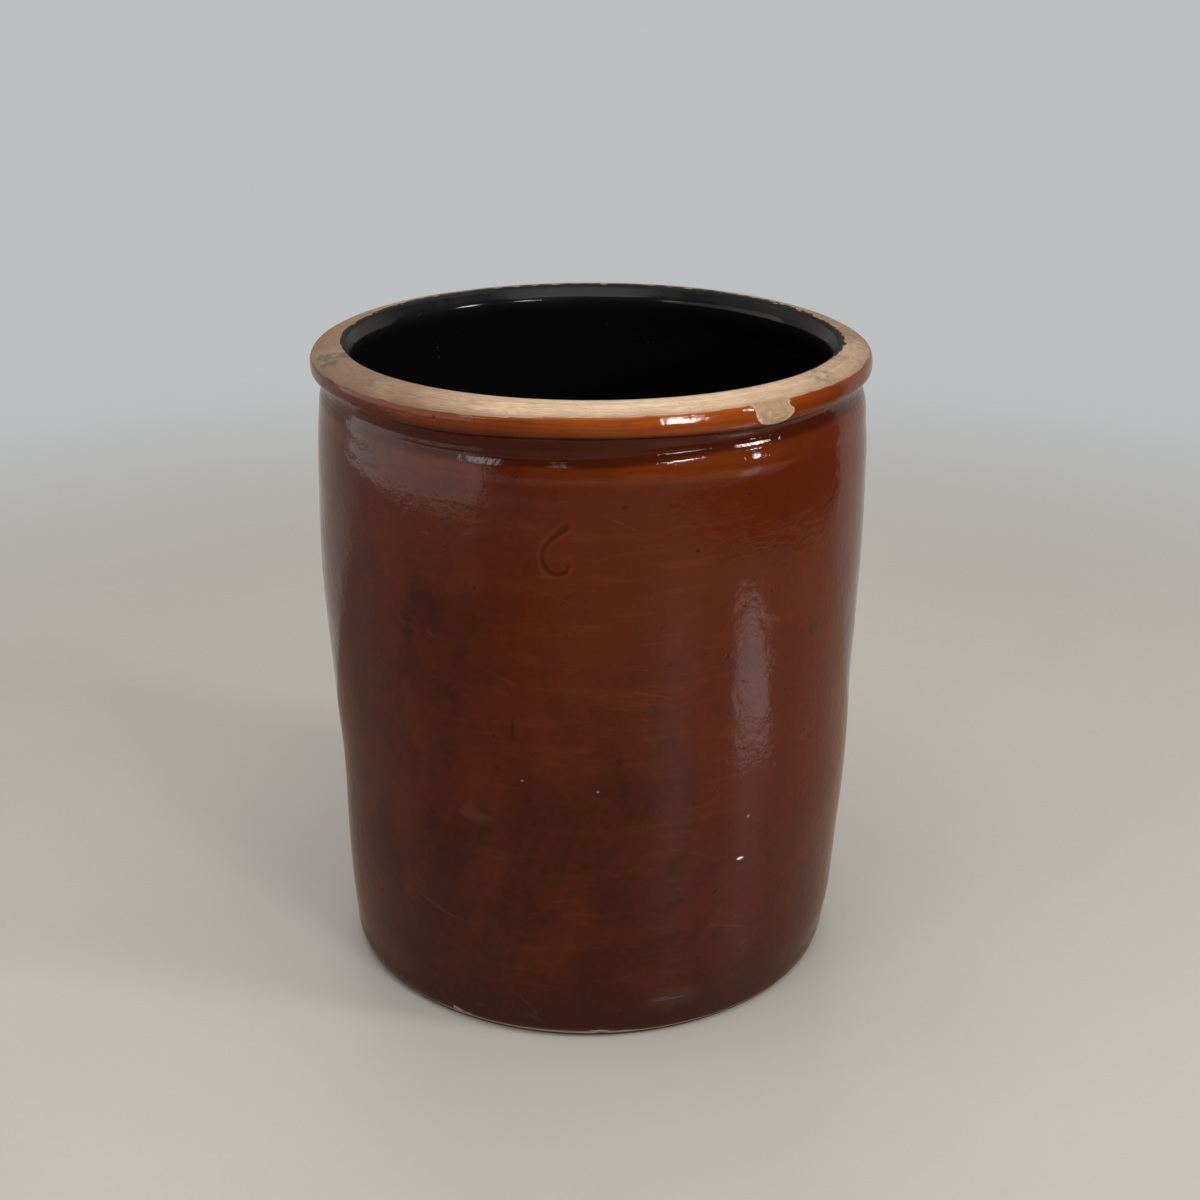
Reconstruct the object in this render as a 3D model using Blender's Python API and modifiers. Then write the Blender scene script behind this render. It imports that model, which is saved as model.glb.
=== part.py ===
"""Preserving crock: a thrown stoneware pot with a rolled rim, brown glaze outside and black glaze inside.

Lengths are in metres, with +Z up. The origin is the middle of the flat underside, and the front faces -Y.
The crock is drawn as one finished outline, which runs from the middle of the floor inside, up over the rim
and down to the middle of the underside. Each glaze is a thin coat just under that outline. The clay lies
below the coats with a small gap, and comes out to the outline where it is bare.
"""

import math

import bmesh
import bpy
from mathutils import Matrix, Vector

# Overall size
HEIGHT = 0.2474  # underside to the top of the rim
COLLAR_RADIUS = 0.1056  # the rolled rim at its widest

# Thicknesses, each with its glaze
WALL_THICKNESS = 0.0098
BASE_THICKNESS = 0.012
FLOOR_CORNER_RADIUS = 0.015

# Rim, from the mouth outwards
RIM_WIDTH = 0.0116  # from the rim's inner edge to the collar's widest point
RIM_FLAT_WIDTH = 0.0025  # the level ring that the crock stands on when it is turned over
LIP_PROJECTION = 0.004  # how far the lip closes the mouth inside the rim's inner edge
LIP_DEPTH = 0.008  # from the rim's top to the narrowest point
THROAT_HEIGHT = 0.0175  # from the narrowest point down to where the wall has its own thickness

# Collar and the groove under it
COLLAR_HEIGHT = 0.0099  # from the rim's top to the collar's lower edge
COLLAR_ROUNDING = 0.0013  # how far the collar's face draws in at its upper and lower edges
NECK_DEPTH = 0.004  # from the collar's widest point in to the bottom of the groove
GROOVE_HEIGHT = 0.008

# Wall outside
COLLAR_OVERHANG = 0.0002  # the collar past the belly
SHOULDER_DRAW_IN = 0.0027  # the belly past the shoulder's upper edge
BELLY_SWELL = 0.0072  # the belly past the heel
HEEL_HEIGHT = 0.0099
HEEL_ROUNDING = 0.0041  # how far the foot rounds in under the heel

# Glaze
GLAZE_THICKNESS = 0.0008
GLAZE_GAP = 0.0003  # between a coat and the clay behind it or beside its edge
BROWN_EDGE_DROP = 0.0029  # from the rim's top down to the brown glaze
BLACK_EDGE_WIDTH = 0.0007  # bare clay between the rim's level ring and the black glaze
FOOT_BARE_HEIGHT = 0.0018  # bare clay between the table and the brown glaze

# Chip in the brown glaze of the collar, which starts at the glaze's upper edge
CHIP_ANGLE = math.radians(36)  # from the front towards +X
CHIP_WIDTH = 0.0175
CHIP_HEIGHT = 0.0064
CHIP_RISE = 0.002  # how far its cutter reaches above the glaze's edge
CHIP_REACH = 0.008  # through the coat, inwards and outwards together

# Outlines, as shares of the sizes that they follow
BELLY_HEIGHT_SHARE = 0.78  # of the way up from the heel to the shoulder's upper edge
SWELL_POWER_SHARE = 0.65  # how quickly the wall swells out above the heel
WALL_SHARES = (0.64, 0.36, 0.16, 0.05)  # up from the heel to the belly
SHOULDER_SHARES = (0.72, 0.4, 0.0)  # up from the belly to the shoulder's upper edge
INNER_WALL_SHARES = (0.22, 0.6, 1.0)  # up from the floor's corner to the throat
RIM_SLOPE_SHARES = (0.4, 0.75)  # out from the level ring to the brown glaze
COLLAR_FACE_SHARES = ((0.22, 0.28), (0.5, 0.0), (0.86, 0.3), (1.0, 1.0))  # down its face, in by its rounding
GROOVE_TOP_SHARES = ((0.12, 0.26), (0.3, 0.05), (0.5, 0.0))  # down the groove, out to the collar's edge
GROOVE_FOOT_SHARES = ((0.78, 0.45), (1.0, 1.0))  # down the groove, out to the shoulder
CHIP_SHARES = (  # across its width from the middle, and down its height
    (-0.5, 0.0), (-0.47, 0.28), (-0.42, 0.5), (-0.38, 0.8), (-0.24, 0.98), (-0.02, 1.0),
    (0.2, 0.94), (0.34, 0.82), (0.4, 0.55), (0.44, 0.3), (0.5, 0.0),
)

# Finishes: colour and roughness
STONEWARE = (0.55, 0.36, 0.22), 0.85
BROWN_GLAZE = (0.13, 0.03, 0.012), 0.15
BLACK_GLAZE = (0.006, 0.006, 0.007), 0.12

# Fineness
TURN_STEPS = 60
MERGE_DISTANCE = 0.00001

# Places that follow from the sizes
BELLY_RADIUS = COLLAR_RADIUS - COLLAR_OVERHANG
HEEL_RADIUS = BELLY_RADIUS - BELLY_SWELL
BASE_RADIUS = HEEL_RADIUS - HEEL_ROUNDING
NECK_RADIUS = COLLAR_RADIUS - NECK_DEPTH
SHOULDER_RADIUS = BELLY_RADIUS - SHOULDER_DRAW_IN
RIM_INNER_RADIUS = COLLAR_RADIUS - RIM_WIDTH
BROWN_EDGE_RADIUS = COLLAR_RADIUS - COLLAR_ROUNDING
BROWN_EDGE_HEIGHT = HEIGHT - BROWN_EDGE_DROP
COLLAR_EDGE_HEIGHT = HEIGHT - COLLAR_HEIGHT
SHOULDER_HEIGHT = COLLAR_EDGE_HEIGHT - GROOVE_HEIGHT
BELLY_HEIGHT = HEEL_HEIGHT + BELLY_HEIGHT_SHARE * (SHOULDER_HEIGHT - HEEL_HEIGHT)
LIP_HEIGHT = HEIGHT - LIP_DEPTH
THROAT_BOTTOM = LIP_HEIGHT - THROAT_HEIGHT
CORNER_TOP = BASE_THICKNESS + FLOOR_CORNER_RADIUS
BLACK_EDGE_ANGLE = 90 + math.degrees(math.asin(BLACK_EDGE_WIDTH / LIP_PROJECTION))
FOOT_EDGE_ANGLE = -math.degrees(math.asin(1 - FOOT_BARE_HEIGHT / HEEL_HEIGHT))


def between(low, high, share):
    return low + (high - low) * share


def arc(centre, radii, start, end, steps):
    """Points of an upright ellipse, as (radius, height), with both ends. Angles are in degrees from +X."""
    angles = [math.radians(between(start, end, step / steps)) for step in range(steps + 1)]
    return [Vector((centre[0] + radii[0] * math.cos(a), centre[1] + radii[1] * math.sin(a))) for a in angles]


def wall_radius(height):
    """Outer radius of the wall: it swells quickly above the heel, then draws in above the belly."""
    if height > BELLY_HEIGHT:
        share = (height - BELLY_HEIGHT) / (SHOULDER_HEIGHT - BELLY_HEIGHT)
        return BELLY_RADIUS - SHOULDER_DRAW_IN * share**2
    share = max(0.0, (height - HEEL_HEIGHT) / (BELLY_HEIGHT - HEEL_HEIGHT))
    return HEEL_RADIUS + BELLY_SWELL * share**SWELL_POWER_SHARE


def foot_bend(start, end):
    """Part of the bend that rounds the foot in from the heel, at 0 degrees, to the underside, at -90."""
    return arc((BASE_RADIUS, HEEL_HEIGHT), (HEEL_ROUNDING, HEEL_HEIGHT), start, end, 2)


def short_of(edge, point):
    """The place one gap short of a coat's edge, on the way to it from a point on the bare clay."""
    return edge + (point - edge).normalized() * GLAZE_GAP


def inside():
    """From the middle of the floor, up the wall and the throat, over the lip to the black glaze's edge."""
    corner_radius = wall_radius(CORNER_TOP) - WALL_THICKNESS
    corner = (corner_radius - FLOOR_CORNER_RADIUS, CORNER_TOP)
    points = [Vector((0, BASE_THICKNESS))]
    points += arc(corner, (FLOOR_CORNER_RADIUS, FLOOR_CORNER_RADIUS), -90, 0, 4)
    for share in INNER_WALL_SHARES:
        height = between(CORNER_TOP, THROAT_BOTTOM, share)
        points.append(Vector((wall_radius(height) - WALL_THICKNESS, height)))
    wall = points[-1]
    narrowest = RIM_INNER_RADIUS - LIP_PROJECTION
    for share in (1 / 3, 2 / 3):
        ease = (1 - math.cos(math.pi * share)) / 2
        points.append(Vector((between(wall.x, narrowest, ease), between(wall.y, LIP_HEIGHT, share))))
    lip = (RIM_INNER_RADIUS, LIP_HEIGHT)
    return points + arc(lip, (LIP_PROJECTION, LIP_DEPTH), 180, BLACK_EDGE_ANGLE, 3)


def rim(black_edge):
    """Bare clay from one gap past the black glaze, over the level ring, to one gap short of the brown one."""
    level_in = Vector((RIM_INNER_RADIUS, HEIGHT))
    level_out = Vector((RIM_INNER_RADIUS + RIM_FLAT_WIDTH, HEIGHT))
    brown_edge = Vector((BROWN_EDGE_RADIUS, BROWN_EDGE_HEIGHT))
    points = [short_of(black_edge, level_in), level_in, level_out]
    for share in RIM_SLOPE_SHARES:
        radius = between(level_out.x, brown_edge.x, share)
        points.append(Vector((radius, between(level_out.y, brown_edge.y, share**2))))
    return points + [short_of(brown_edge, points[-1])]


def outside():
    """From the brown glaze's upper edge, over the collar and down the wall to its lower edge at the foot."""
    points = [Vector((BROWN_EDGE_RADIUS, BROWN_EDGE_HEIGHT))]
    for down, inwards in COLLAR_FACE_SHARES:
        height = between(BROWN_EDGE_HEIGHT, COLLAR_EDGE_HEIGHT, down)
        points.append(Vector((COLLAR_RADIUS - COLLAR_ROUNDING * inwards, height)))
    for shares, radius in ((GROOVE_TOP_SHARES, BROWN_EDGE_RADIUS), (GROOVE_FOOT_SHARES, SHOULDER_RADIUS)):
        for down, outwards in shares:
            height = between(COLLAR_EDGE_HEIGHT, SHOULDER_HEIGHT, down)
            points.append(Vector((between(NECK_RADIUS, radius, outwards), height)))
    heights = [between(BELLY_HEIGHT, SHOULDER_HEIGHT, share) for share in SHOULDER_SHARES]
    heights += [between(HEEL_HEIGHT, BELLY_HEIGHT, share) for share in WALL_SHARES]
    points += [Vector((wall_radius(height), height)) for height in heights]
    return points + foot_bend(0, FOOT_EDGE_ANGLE)


def foot(brown_edge):
    """Bare clay from one gap past the brown glaze, round under the foot to the middle of the underside."""
    bend = foot_bend(FOOT_EDGE_ANGLE, -90)[1:]
    return [short_of(brown_edge, bend[0])] + bend + [Vector((0, 0))]


def sunk(points, depth):
    """The outline moved into the material, which lies on its right-hand side, by this depth."""
    normals = []
    for start, end in zip(points, points[1:]):
        along = (end - start).normalized()
        normals.append(Vector((along.y, -along.x)))
    moved = []
    for index, point in enumerate(points):
        before = normals[max(index - 1, 0)]
        after = normals[min(index, len(normals) - 1)]
        middle = (before + after).normalized()
        moved.append(point + middle * (depth / middle.dot(after)))
    return moved


def clear_scene():
    """Removes whatever the file opened with."""
    for obj in list(bpy.data.objects):
        bpy.data.objects.remove(obj)


def collection(name):
    made = bpy.data.collections.new(name)
    bpy.context.scene.collection.children.link(made)
    return made


def material(name, color, roughness):
    """A plain finish with no metal in it."""
    made = bpy.data.materials.new(name)
    made.use_nodes = True
    shader = made.node_tree.nodes["Principled BSDF"]
    shader.inputs["Base Color"].default_value = (*color, 1)
    shader.inputs["Roughness"].default_value = roughness
    shader.inputs["Metallic"].default_value = 0
    made.diffuse_color = (*color, 1)
    return made


def turned(name, section, closed, finish, home):
    """A piece turned round Z from its section, whose points run down its outer side."""
    count = len(section)
    edges = [(i, i + 1) for i in range(count - 1)]
    if closed:
        edges.append((count - 1, 0))
    mesh = bpy.data.meshes.new(name)
    mesh.from_pydata([(point.x, 0, point.y) for point in section], edges, [])
    mesh.materials.append(finish)
    obj = bpy.data.objects.new(name, mesh)
    home.objects.link(obj)
    screw = obj.modifiers.new("turn", "SCREW")
    screw.axis = "Z"
    screw.angle = math.tau
    screw.steps = TURN_STEPS
    screw.render_steps = TURN_STEPS
    screw.use_merge_vertices = True
    screw.merge_threshold = MERGE_DISTANCE
    screw.use_smooth_shade = True
    return obj


def chip_cutter(home):
    """A flat outline in the shape of the chip, as deep as the coat and more, facing out from the collar."""
    curve = bpy.data.curves.new("chip_outline", "CURVE")
    curve.dimensions = "2D"
    curve.fill_mode = "BOTH"
    curve.extrude = CHIP_REACH / 2
    outline = [(-0.5 * CHIP_WIDTH, CHIP_RISE)]
    outline += [(across * CHIP_WIDTH, -down * CHIP_HEIGHT) for across, down in CHIP_SHARES]
    outline += [(0.5 * CHIP_WIDTH, CHIP_RISE)]
    spline = curve.splines.new("POLY")
    spline.points.add(len(outline) - 1)
    for point, (across, up) in zip(spline.points, outline):
        point.co = (across, up, 0, 1)
    spline.use_cyclic_u = True
    guide = bpy.data.objects.new("chip_outline", curve)
    home.objects.link(guide)
    stand_up = Matrix.Rotation(math.radians(90), 4, "X")
    place = Matrix.Translation((0, -COLLAR_RADIUS, BROWN_EDGE_HEIGHT))
    guide.matrix_world = Matrix.Rotation(CHIP_ANGLE, 4, "Z") @ place @ stand_up
    bpy.context.view_layer.update()

    evaluated = guide.evaluated_get(bpy.context.evaluated_depsgraph_get())
    mesh = bpy.data.meshes.new_from_object(evaluated)
    solid = bmesh.new()
    solid.from_mesh(mesh)
    bmesh.ops.remove_doubles(solid, verts=solid.verts, dist=MERGE_DISTANCE)
    bmesh.ops.recalc_face_normals(solid, faces=solid.faces)
    solid.to_mesh(mesh)
    solid.free()
    cutter = bpy.data.objects.new("chip_cutter", mesh)
    home.objects.link(cutter)
    cutter.matrix_world = guide.matrix_world.copy()
    cutter.hide_render = True
    cutter.display_type = "WIRE"
    bpy.data.objects.remove(guide)
    return cutter


def cut(obj, cutter):
    """Takes the cutter's shape out of a piece."""
    boolean = obj.modifiers.new("chip", "BOOLEAN")
    boolean.operation = "DIFFERENCE"
    boolean.solver = "EXACT"
    boolean.object = cutter


def build():
    """Draws the outline, splits it into the clay and its two coats, and turns each of them."""
    clear_scene()
    crock = collection("preserving_crock")
    cutters = collection("cutters")

    inner = inside()
    outer = outside()
    bare_rim = rim(inner[-1])
    bare_foot = foot(outer[-1])
    outline = inner + bare_rim + outer + bare_foot
    rim_start = len(inner)
    outer_start = rim_start + len(bare_rim)
    foot_start = outer_start + len(outer)

    coat_back = sunk(outline, GLAZE_THICKNESS)
    under_coat = sunk(outline, GLAZE_THICKNESS + GLAZE_GAP)
    clay = under_coat[: rim_start + 1] + outline[rim_start:outer_start]
    clay += under_coat[outer_start - 1 : foot_start + 1] + outline[foot_start:]
    black = outline[:rim_start] + coat_back[:rim_start][::-1]
    brown = outline[outer_start:foot_start] + coat_back[outer_start:foot_start][::-1]

    body = turned("stoneware_body", clay, False, material("bare_stoneware", *STONEWARE), crock)
    lining = turned("inner_black_glaze", black, False, material("black_glaze", *BLACK_GLAZE), crock)
    coat = turned("outer_brown_glaze", brown, True, material("brown_glaze", *BROWN_GLAZE), crock)
    cut(coat, chip_cutter(cutters))
    for piece in (body, lining, coat):
        piece.modifiers.new("shading", "WEIGHTED_NORMAL")


build()
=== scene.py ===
"""Preserving crock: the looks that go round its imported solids.

The crock is one lump of thrown stoneware with a brown glaze outside and a black glaze inside, so it has
three pieces. Each is a surface worked out as a whole array: a profile, carried round the pot by the angle
PHI, which is 0 at the front (-Y) and grows towards +X. Every profile is read off one finished outline,
which runs from the middle of the floor inside, up over the rim and down to the middle of the underside,
and a piece says how far above or below that outline it lies. Where a glaze ends, its surface dips under
the clay, so the place where the two cross draws the glaze's edge. Lengths are in metres where nothing
else is said, and +Z is up.
"""

import functools
import math
from types import SimpleNamespace

import bpy
import numpy as np
from bpy.props import FloatProperty, FloatVectorProperty, IntProperty, PointerProperty
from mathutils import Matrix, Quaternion, Vector


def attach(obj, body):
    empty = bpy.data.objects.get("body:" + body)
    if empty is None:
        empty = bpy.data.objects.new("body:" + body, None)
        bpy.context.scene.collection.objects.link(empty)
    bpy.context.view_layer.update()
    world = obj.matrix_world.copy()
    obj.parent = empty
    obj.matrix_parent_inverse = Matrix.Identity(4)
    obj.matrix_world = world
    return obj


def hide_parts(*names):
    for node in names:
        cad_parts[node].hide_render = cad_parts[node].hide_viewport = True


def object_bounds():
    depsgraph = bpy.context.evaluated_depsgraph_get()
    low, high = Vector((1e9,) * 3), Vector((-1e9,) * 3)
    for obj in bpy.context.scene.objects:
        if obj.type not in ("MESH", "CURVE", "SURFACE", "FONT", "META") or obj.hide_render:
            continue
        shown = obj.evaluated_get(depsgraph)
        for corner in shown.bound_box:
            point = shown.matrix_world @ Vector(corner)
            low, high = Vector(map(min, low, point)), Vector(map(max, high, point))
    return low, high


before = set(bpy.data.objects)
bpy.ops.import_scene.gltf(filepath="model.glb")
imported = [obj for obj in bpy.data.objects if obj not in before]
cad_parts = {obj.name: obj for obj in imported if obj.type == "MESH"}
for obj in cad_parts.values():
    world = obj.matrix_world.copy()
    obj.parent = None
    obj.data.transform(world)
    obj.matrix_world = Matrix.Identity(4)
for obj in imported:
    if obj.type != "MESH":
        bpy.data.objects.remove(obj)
CAD_BOX = [list(corner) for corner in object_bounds()]
CAD_HEIGHT = CAD_BOX[1][2]
CAD_RADIUS = CAD_BOX[1][0]

bl_info = {
    "name": "Preserving Crock",
    "version": (1, 0, 0),
    "blender": (4, 5, 0),
    "location": "3D View > Sidebar > Crock",
    "description": "A thrown stoneware crock with a brown and a black glaze, and its stage",
    "category": "Add Mesh",
}

BODY = "root"
MM = 0.001
# The collar's radius less the bend of its face: turns an angle round the pot into a distance along it
ROUND = 0.1045
# The same for the marks in the brown glaze
MARKS_ROUND = 0.105

# Heights on the pot. A pair runs from where a change starts to where it is complete.
NUMBER_MIDDLE = 0.1987
COLLAR_TOP = (0.2335, 0.2440)
COLLAR_FACE = (0.2335, 0.2385)
NECK_FOOT = (0.2292, 0.2312)
NECK_TOP = (0.2385, 0.2365)
SHOULDER_BAND = (0.2198, 0.2216)
DARK_FOOT = (0.036, 0.004)
TABLE_SHADE = (0.0021, 0.0017)
# The same in millimetres, as the unevenness of the wall uses them
SHOULDER = 224.5
GROOVE = 231.3
COLLAR_MIDDLE = 242.8

# Swells and hollows of the wall: how far out in millimetres, where round the pot and how wide in degrees,
# and how high and how tall in millimetres. The second table's are on the outside only.
SWELLS = ((0.22, -85, 30, 150, 30), (0.6, -88, 34, 36, 22), (0.5, 86, 34, 212, 12))
FOOT_SWELLS = ((1.2, -52, 26, 0, 7.5), (-1.0, 32, 26, 0, 7.5))
# How far the axis wanders towards +X, at which height and over how much of it, in millimetres
WANDER = ((1.05, 80, 24), (-0.85, 0, 18))
# Chips of the brown glaze at the foot: where and how wide in degrees, and how high in millimetres
FOOT_CHIPS = ((2.6, 1.6, 1.2), (-31.1, 1.1, 2.4), (-28.6, 0.9, 1.2))
# The collar's chip in millimetres: across the pot from its middle, and down from the brown glaze's edge
CHIP_CORNERS = (
    (-8.9, -3.0), (-8.6, 0.6), (-8.0, 2.2), (-7.9, 3.6), (-6.9, 4.9), (-5.6, 5.9), (-3.2, 6.7),
    (-0.4, 7.2), (2.4, 7.2), (4.8, 6.7), (7.0, 5.6), (8.6, 4.5), (8.5, 3.5), (6.9, 2.8), (6.1, 1.5),
    (5.6, 0.2), (5.4, -3.0),
)
# A plain six as nine places, across and up, in shares of the number's height
NUMBER_SHARES = (
    (0.24, 0.49), (0.06, 0.355), (-0.10, 0.205), (-0.222, 0.005), (-0.265, -0.205),
    (-0.195, -0.38), (0.005, -0.50), (0.21, -0.435), (0.268, -0.28),
)

# Marks on the brown glaze. Each has its distance round the pot from the front, its height, half its width
# and half its height, in millimetres, and its strength. Tones make the glaze darker, or lighter where
# they are negative.
TONES = (
    (-58, 160, 30, 36, 0.30), (-44, 98, 20, 32, -0.16), (10, 146, 30, 15, 0.24), (3, 66, 20, 15, 0.16),
    (18, 206, 46, 22, -0.10), (-20, 70, 14, 30, 0.12), (60, 110, 16, 40, -0.08), (-75, 60, 14, 40, -0.10),
    (66, 60, 34, 44, -0.14), (-40, 30, 34, 26, -0.08),
)
PITS = (
    (-27.7, 108.5, 1.5, 1.1, 0.8), (3.3, 108.4, 1.2, 1.1, 0.8), (34.2, 59.6, 1.9, 1.3, 0.9),
    (32.2, 57.8, 1.2, 1.2, 0.8), (11.6, 213.6, 1.3, 1.3, 0.8), (-28.2, 130.8, 0.9, 7.0, 0.6),
    (10.4, 118.5, 2.2, 2.6, 0.7), (12.0, 106.5, 2.6, 4.0, 0.6), (13.5, 97.5, 2.4, 3.0, 0.7),
    (49.1, 155.4, 1.5, 1.5, 0.9), (77.2, 135.7, 1.5, 1.5, 0.9), (38.6, 90.6, 1.6, 1.3, 0.8),
    (-59.2, 159.1, 1.3, 1.9, 0.7), (-51.2, 139.1, 1.3, 2.6, 0.8), (48.3, 84.4, 1.3, 1.8, 0.7),
)
# Glints painted as pale flecks: spots that stand in for light caught by small dents
PAINTED_GLINTS = (
    (59.3, 71.6, 2.1, 0.8, 1.0), (-25.0, 110.6, 0.9, 0.5, 0.18), (2.5, 107.6, 0.8, 0.5, 0.22),
    (61.9, 88.7, 0.9, 1.0, 0.15),
)
SMUDGES = ((91.1, 155.7, 4.6, 4.4, 0.80),)
RUBBED_PLACES = ((33.0, 16.0, 15.0, 7.0, 1.0),)
# Marks on the clay: grime on the rim, and painted shade in a notch in the foot
GRIME = (
    (-128, 246.0, 13, 2.3, 2.0), (126, 245.2, 9, 4, 0.45), (98, 247.0, 9, 3, 0.75),
    (-96, 246.5, 16, 3, 0.25), (160, 247, 30, 4, 0.5),
)
NOTCH_SHADES = ((4.0, 1.2, 4.5, 2.4, 1.0),)
# Scratches run from one place to another, with a strength
SCRATCHES = (
    ((56.3, 80.3), (73.0, 86.0), 1.0), ((58.0, 56.8), (85.0, 64.5), 0.9),
    ((-55.4, 173.9), (-42.0, 181.0), 0.7), ((-51.1, 140.3), (-35.5, 152.1), 0.7),
    ((39.0, 98.5), (56.0, 105.0), 0.6), ((-60.0, 198.0), (-33.0, 194.5), 0.5),
)
SCRATCH_WIDTH = 0.00032

# Colours of marks and wear, of painted shade and of painted glints, as linear red, green and blue
FRESH_CLAY, FRESH_CLAY_PALE = (0.25, 0.145, 0.075), (0.42, 0.265, 0.145)
BURNT_DASH = (0.11, 0.065, 0.04)
SHADE = (0.012, 0.009, 0.007)
IRON_SPECK = (0.016, 0.0025, 0.0012)
POOLED_GLAZE = (0.040, 0.0052, 0.0012)
PIT = (0.026, 0.0036, 0.0018)
SMUDGE = (0.016, 0.013, 0.008)
RUBBED = (0.20, 0.19, 0.19)
PAINTED_GLINT = (0.80, 0.72, 0.64)
SCUFF = (0.30, 0.15, 0.09)
SCRATCH = (0.016, 0.0045, 0.0030)
GREY_SPECK = (0.06, 0.06, 0.06)

# Where a mesh's columns crowd: from and to in degrees, how much more densely, and the margin in degrees
FRONT = (-75, 75, 0.7, 20)
CHIP_SIDE = (24, 48, 6.0, 2)
NUMBER_SIDE = (-11.5, -1.3, 8.0, 1.5)
FOOT_CHIP_SIDE = (-35, -25, 2.0, 4)
RIGHT_SIDE = (50, 130, 0.6, 10)

# Lamps: name, azimuth and elevation in degrees, distance, width and height, power in watts, and tint
LAMPS = (
    ("window", 69, 25, 1.3, (0.22, 0.18), 6.4, (1.0, 0.98, 0.96)),
    ("second_window", 34, 20, 1.3, (0.24, 0.08), 5.4, (0.98, 0.99, 1.0)),
    ("overhead", 10, 76, 1.15, (1.1, 1.1), 8.5, (1, 1, 1)),
    ("left_wall", -78, 14, 1.0, (1.44, 0.95), 4.6, (0.95, 0.98, 1.0)),
    ("doorway", -46, 28, 1.2, (0.20, 0.24), 0.7, (0.97, 0.98, 1.0)),
    ("ceiling_lamp", -14, 32, 1.3, (0.03, 0.015), 0.07, (1.0, 0.85, 0.7)),
    ("light_on_the_floor", 62, 0, 0.425, (0.09, 0.24), 0.10, (1.0, 0.94, 0.96)),
    ("back_fill", 190, 40, 1.6, (1.2, 0.8), 4.0, (1, 1, 1)),
)
# Half the side of the floor's square, and the ways to the wall that the gloss sees, far off and on the floor
FLOOR_REACH = 40.0
BACKDROP_WAY = (-0.33, 0.94, 0.0)
FLOOR_WAY = (-0.5, 0.866, 0.0)


# Sizes and finishes that a user would change


def length(name, default, description):
    """A size in metres."""
    return FloatProperty(
        name=name, default=default, description=description, unit="LENGTH", subtype="DISTANCE", precision=4
    )


def turn(name, default, description):
    """An angle, given here in degrees."""
    return FloatProperty(
        name=name, default=math.radians(default), description=description, unit="ROTATION", subtype="ANGLE"
    )


def share(name, default, description):
    """A share from 0 to 1."""
    return FloatProperty(
        name=name, default=default, min=0, max=1, description=description, subtype="FACTOR"
    )


def colour(name, default, description):
    """A colour, as linear red, green and blue."""
    return FloatVectorProperty(
        name=name, default=default, min=0, max=1, size=3, description=description, subtype="COLOR"
    )


class CrockSizes(bpy.types.PropertyGroup):
    """The crock's own sizes, as the solids have them."""

    height: length("Height", CAD_HEIGHT, "Underside to the top of the rim")
    collar_radius: length("Collar radius", CAD_RADIUS, "The rolled rim at its widest")
    wall_thickness: length("Wall thickness", 0.0098, "Wall with both of its glazes")
    base_thickness: length("Base thickness", 0.012, "Floor with its glaze")
    floor_corner_radius: length("Floor corner", 0.015, "Radius of the corner between floor and wall")
    rim_width: length("Rim width", 0.0116, "From the rim's inner edge to the collar's widest point")
    rim_flat_width: length("Level ring", 0.0025, "The level ring on top of the rim")
    lip_projection: length("Lip", 0.004, "How far the lip closes the mouth inside the rim's inner edge")
    lip_depth: length("Lip depth", 0.008, "From the rim's top to the narrowest point")
    throat_height: length("Throat", 0.0175, "From the narrowest point down to the plain wall")
    collar_height: length("Collar height", 0.0099, "From the rim's top to the collar's lower edge")
    collar_rounding: length("Collar rounding", 0.0013, "How far the collar's face draws in at its edges")
    neck_depth: length("Neck depth", 0.004, "From the collar's widest point in to the bottom of the groove")
    groove_height: length("Groove height", 0.008, "From the collar's lower edge to the shoulder")
    collar_overhang: length("Collar overhang", 0.0002, "The collar past the belly")
    shoulder_draw_in: length("Shoulder draw-in", 0.0027, "The belly past the shoulder's upper edge")
    belly_swell: length("Belly swell", 0.0072, "The belly past the heel")
    heel_height: length("Heel height", 0.0099, "Where the foot starts to round in")
    heel_rounding: length("Heel rounding", 0.0041, "How far the foot rounds in under the heel")
    brown_edge_drop: length("Brown edge", 0.0029, "From the rim's top down to the brown glaze")
    black_edge_width: length("Black edge", 0.0007, "Bare clay between the level ring and the black glaze")
    foot_bare_height: length("Bare foot", 0.0018, "Bare clay between the table and the brown glaze")


class CrockSurface(bpy.types.PropertyGroup):
    """What throwing, glazing and use left on the crock."""

    glaze_thickness: length("Glaze thickness", 0.0009, "Outer face to back face of a glaze coat")
    glaze_bead: length("Glaze bead", 0.00012, "How far a glaze stands proud along its edge")
    unevenness: length("Unevenness", 0.00011, "Typical dents and swells of the thrown wall")
    ring_depth: length("Throwing rings", 0.00035, "Height of the throwing rings inside")
    number_height: length("Number height", 0.0168, "Height of the incised capacity number")
    number_depth: length("Number depth", 0.00023, "Depth of the stroke that draws the number")
    number_angle: turn("Number place", -6.5, "The number's place, from the front towards +X")
    chip_angle: turn("Chip place", 36, "The chip's place, from the front towards +X")
    chip_depth: length("Chip depth", 0.0004, "How deep the collar's chip goes below the glaze")
    seed: IntProperty(name="Seed", default=11, description="Picks the dents, swells and ragged edges")


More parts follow.
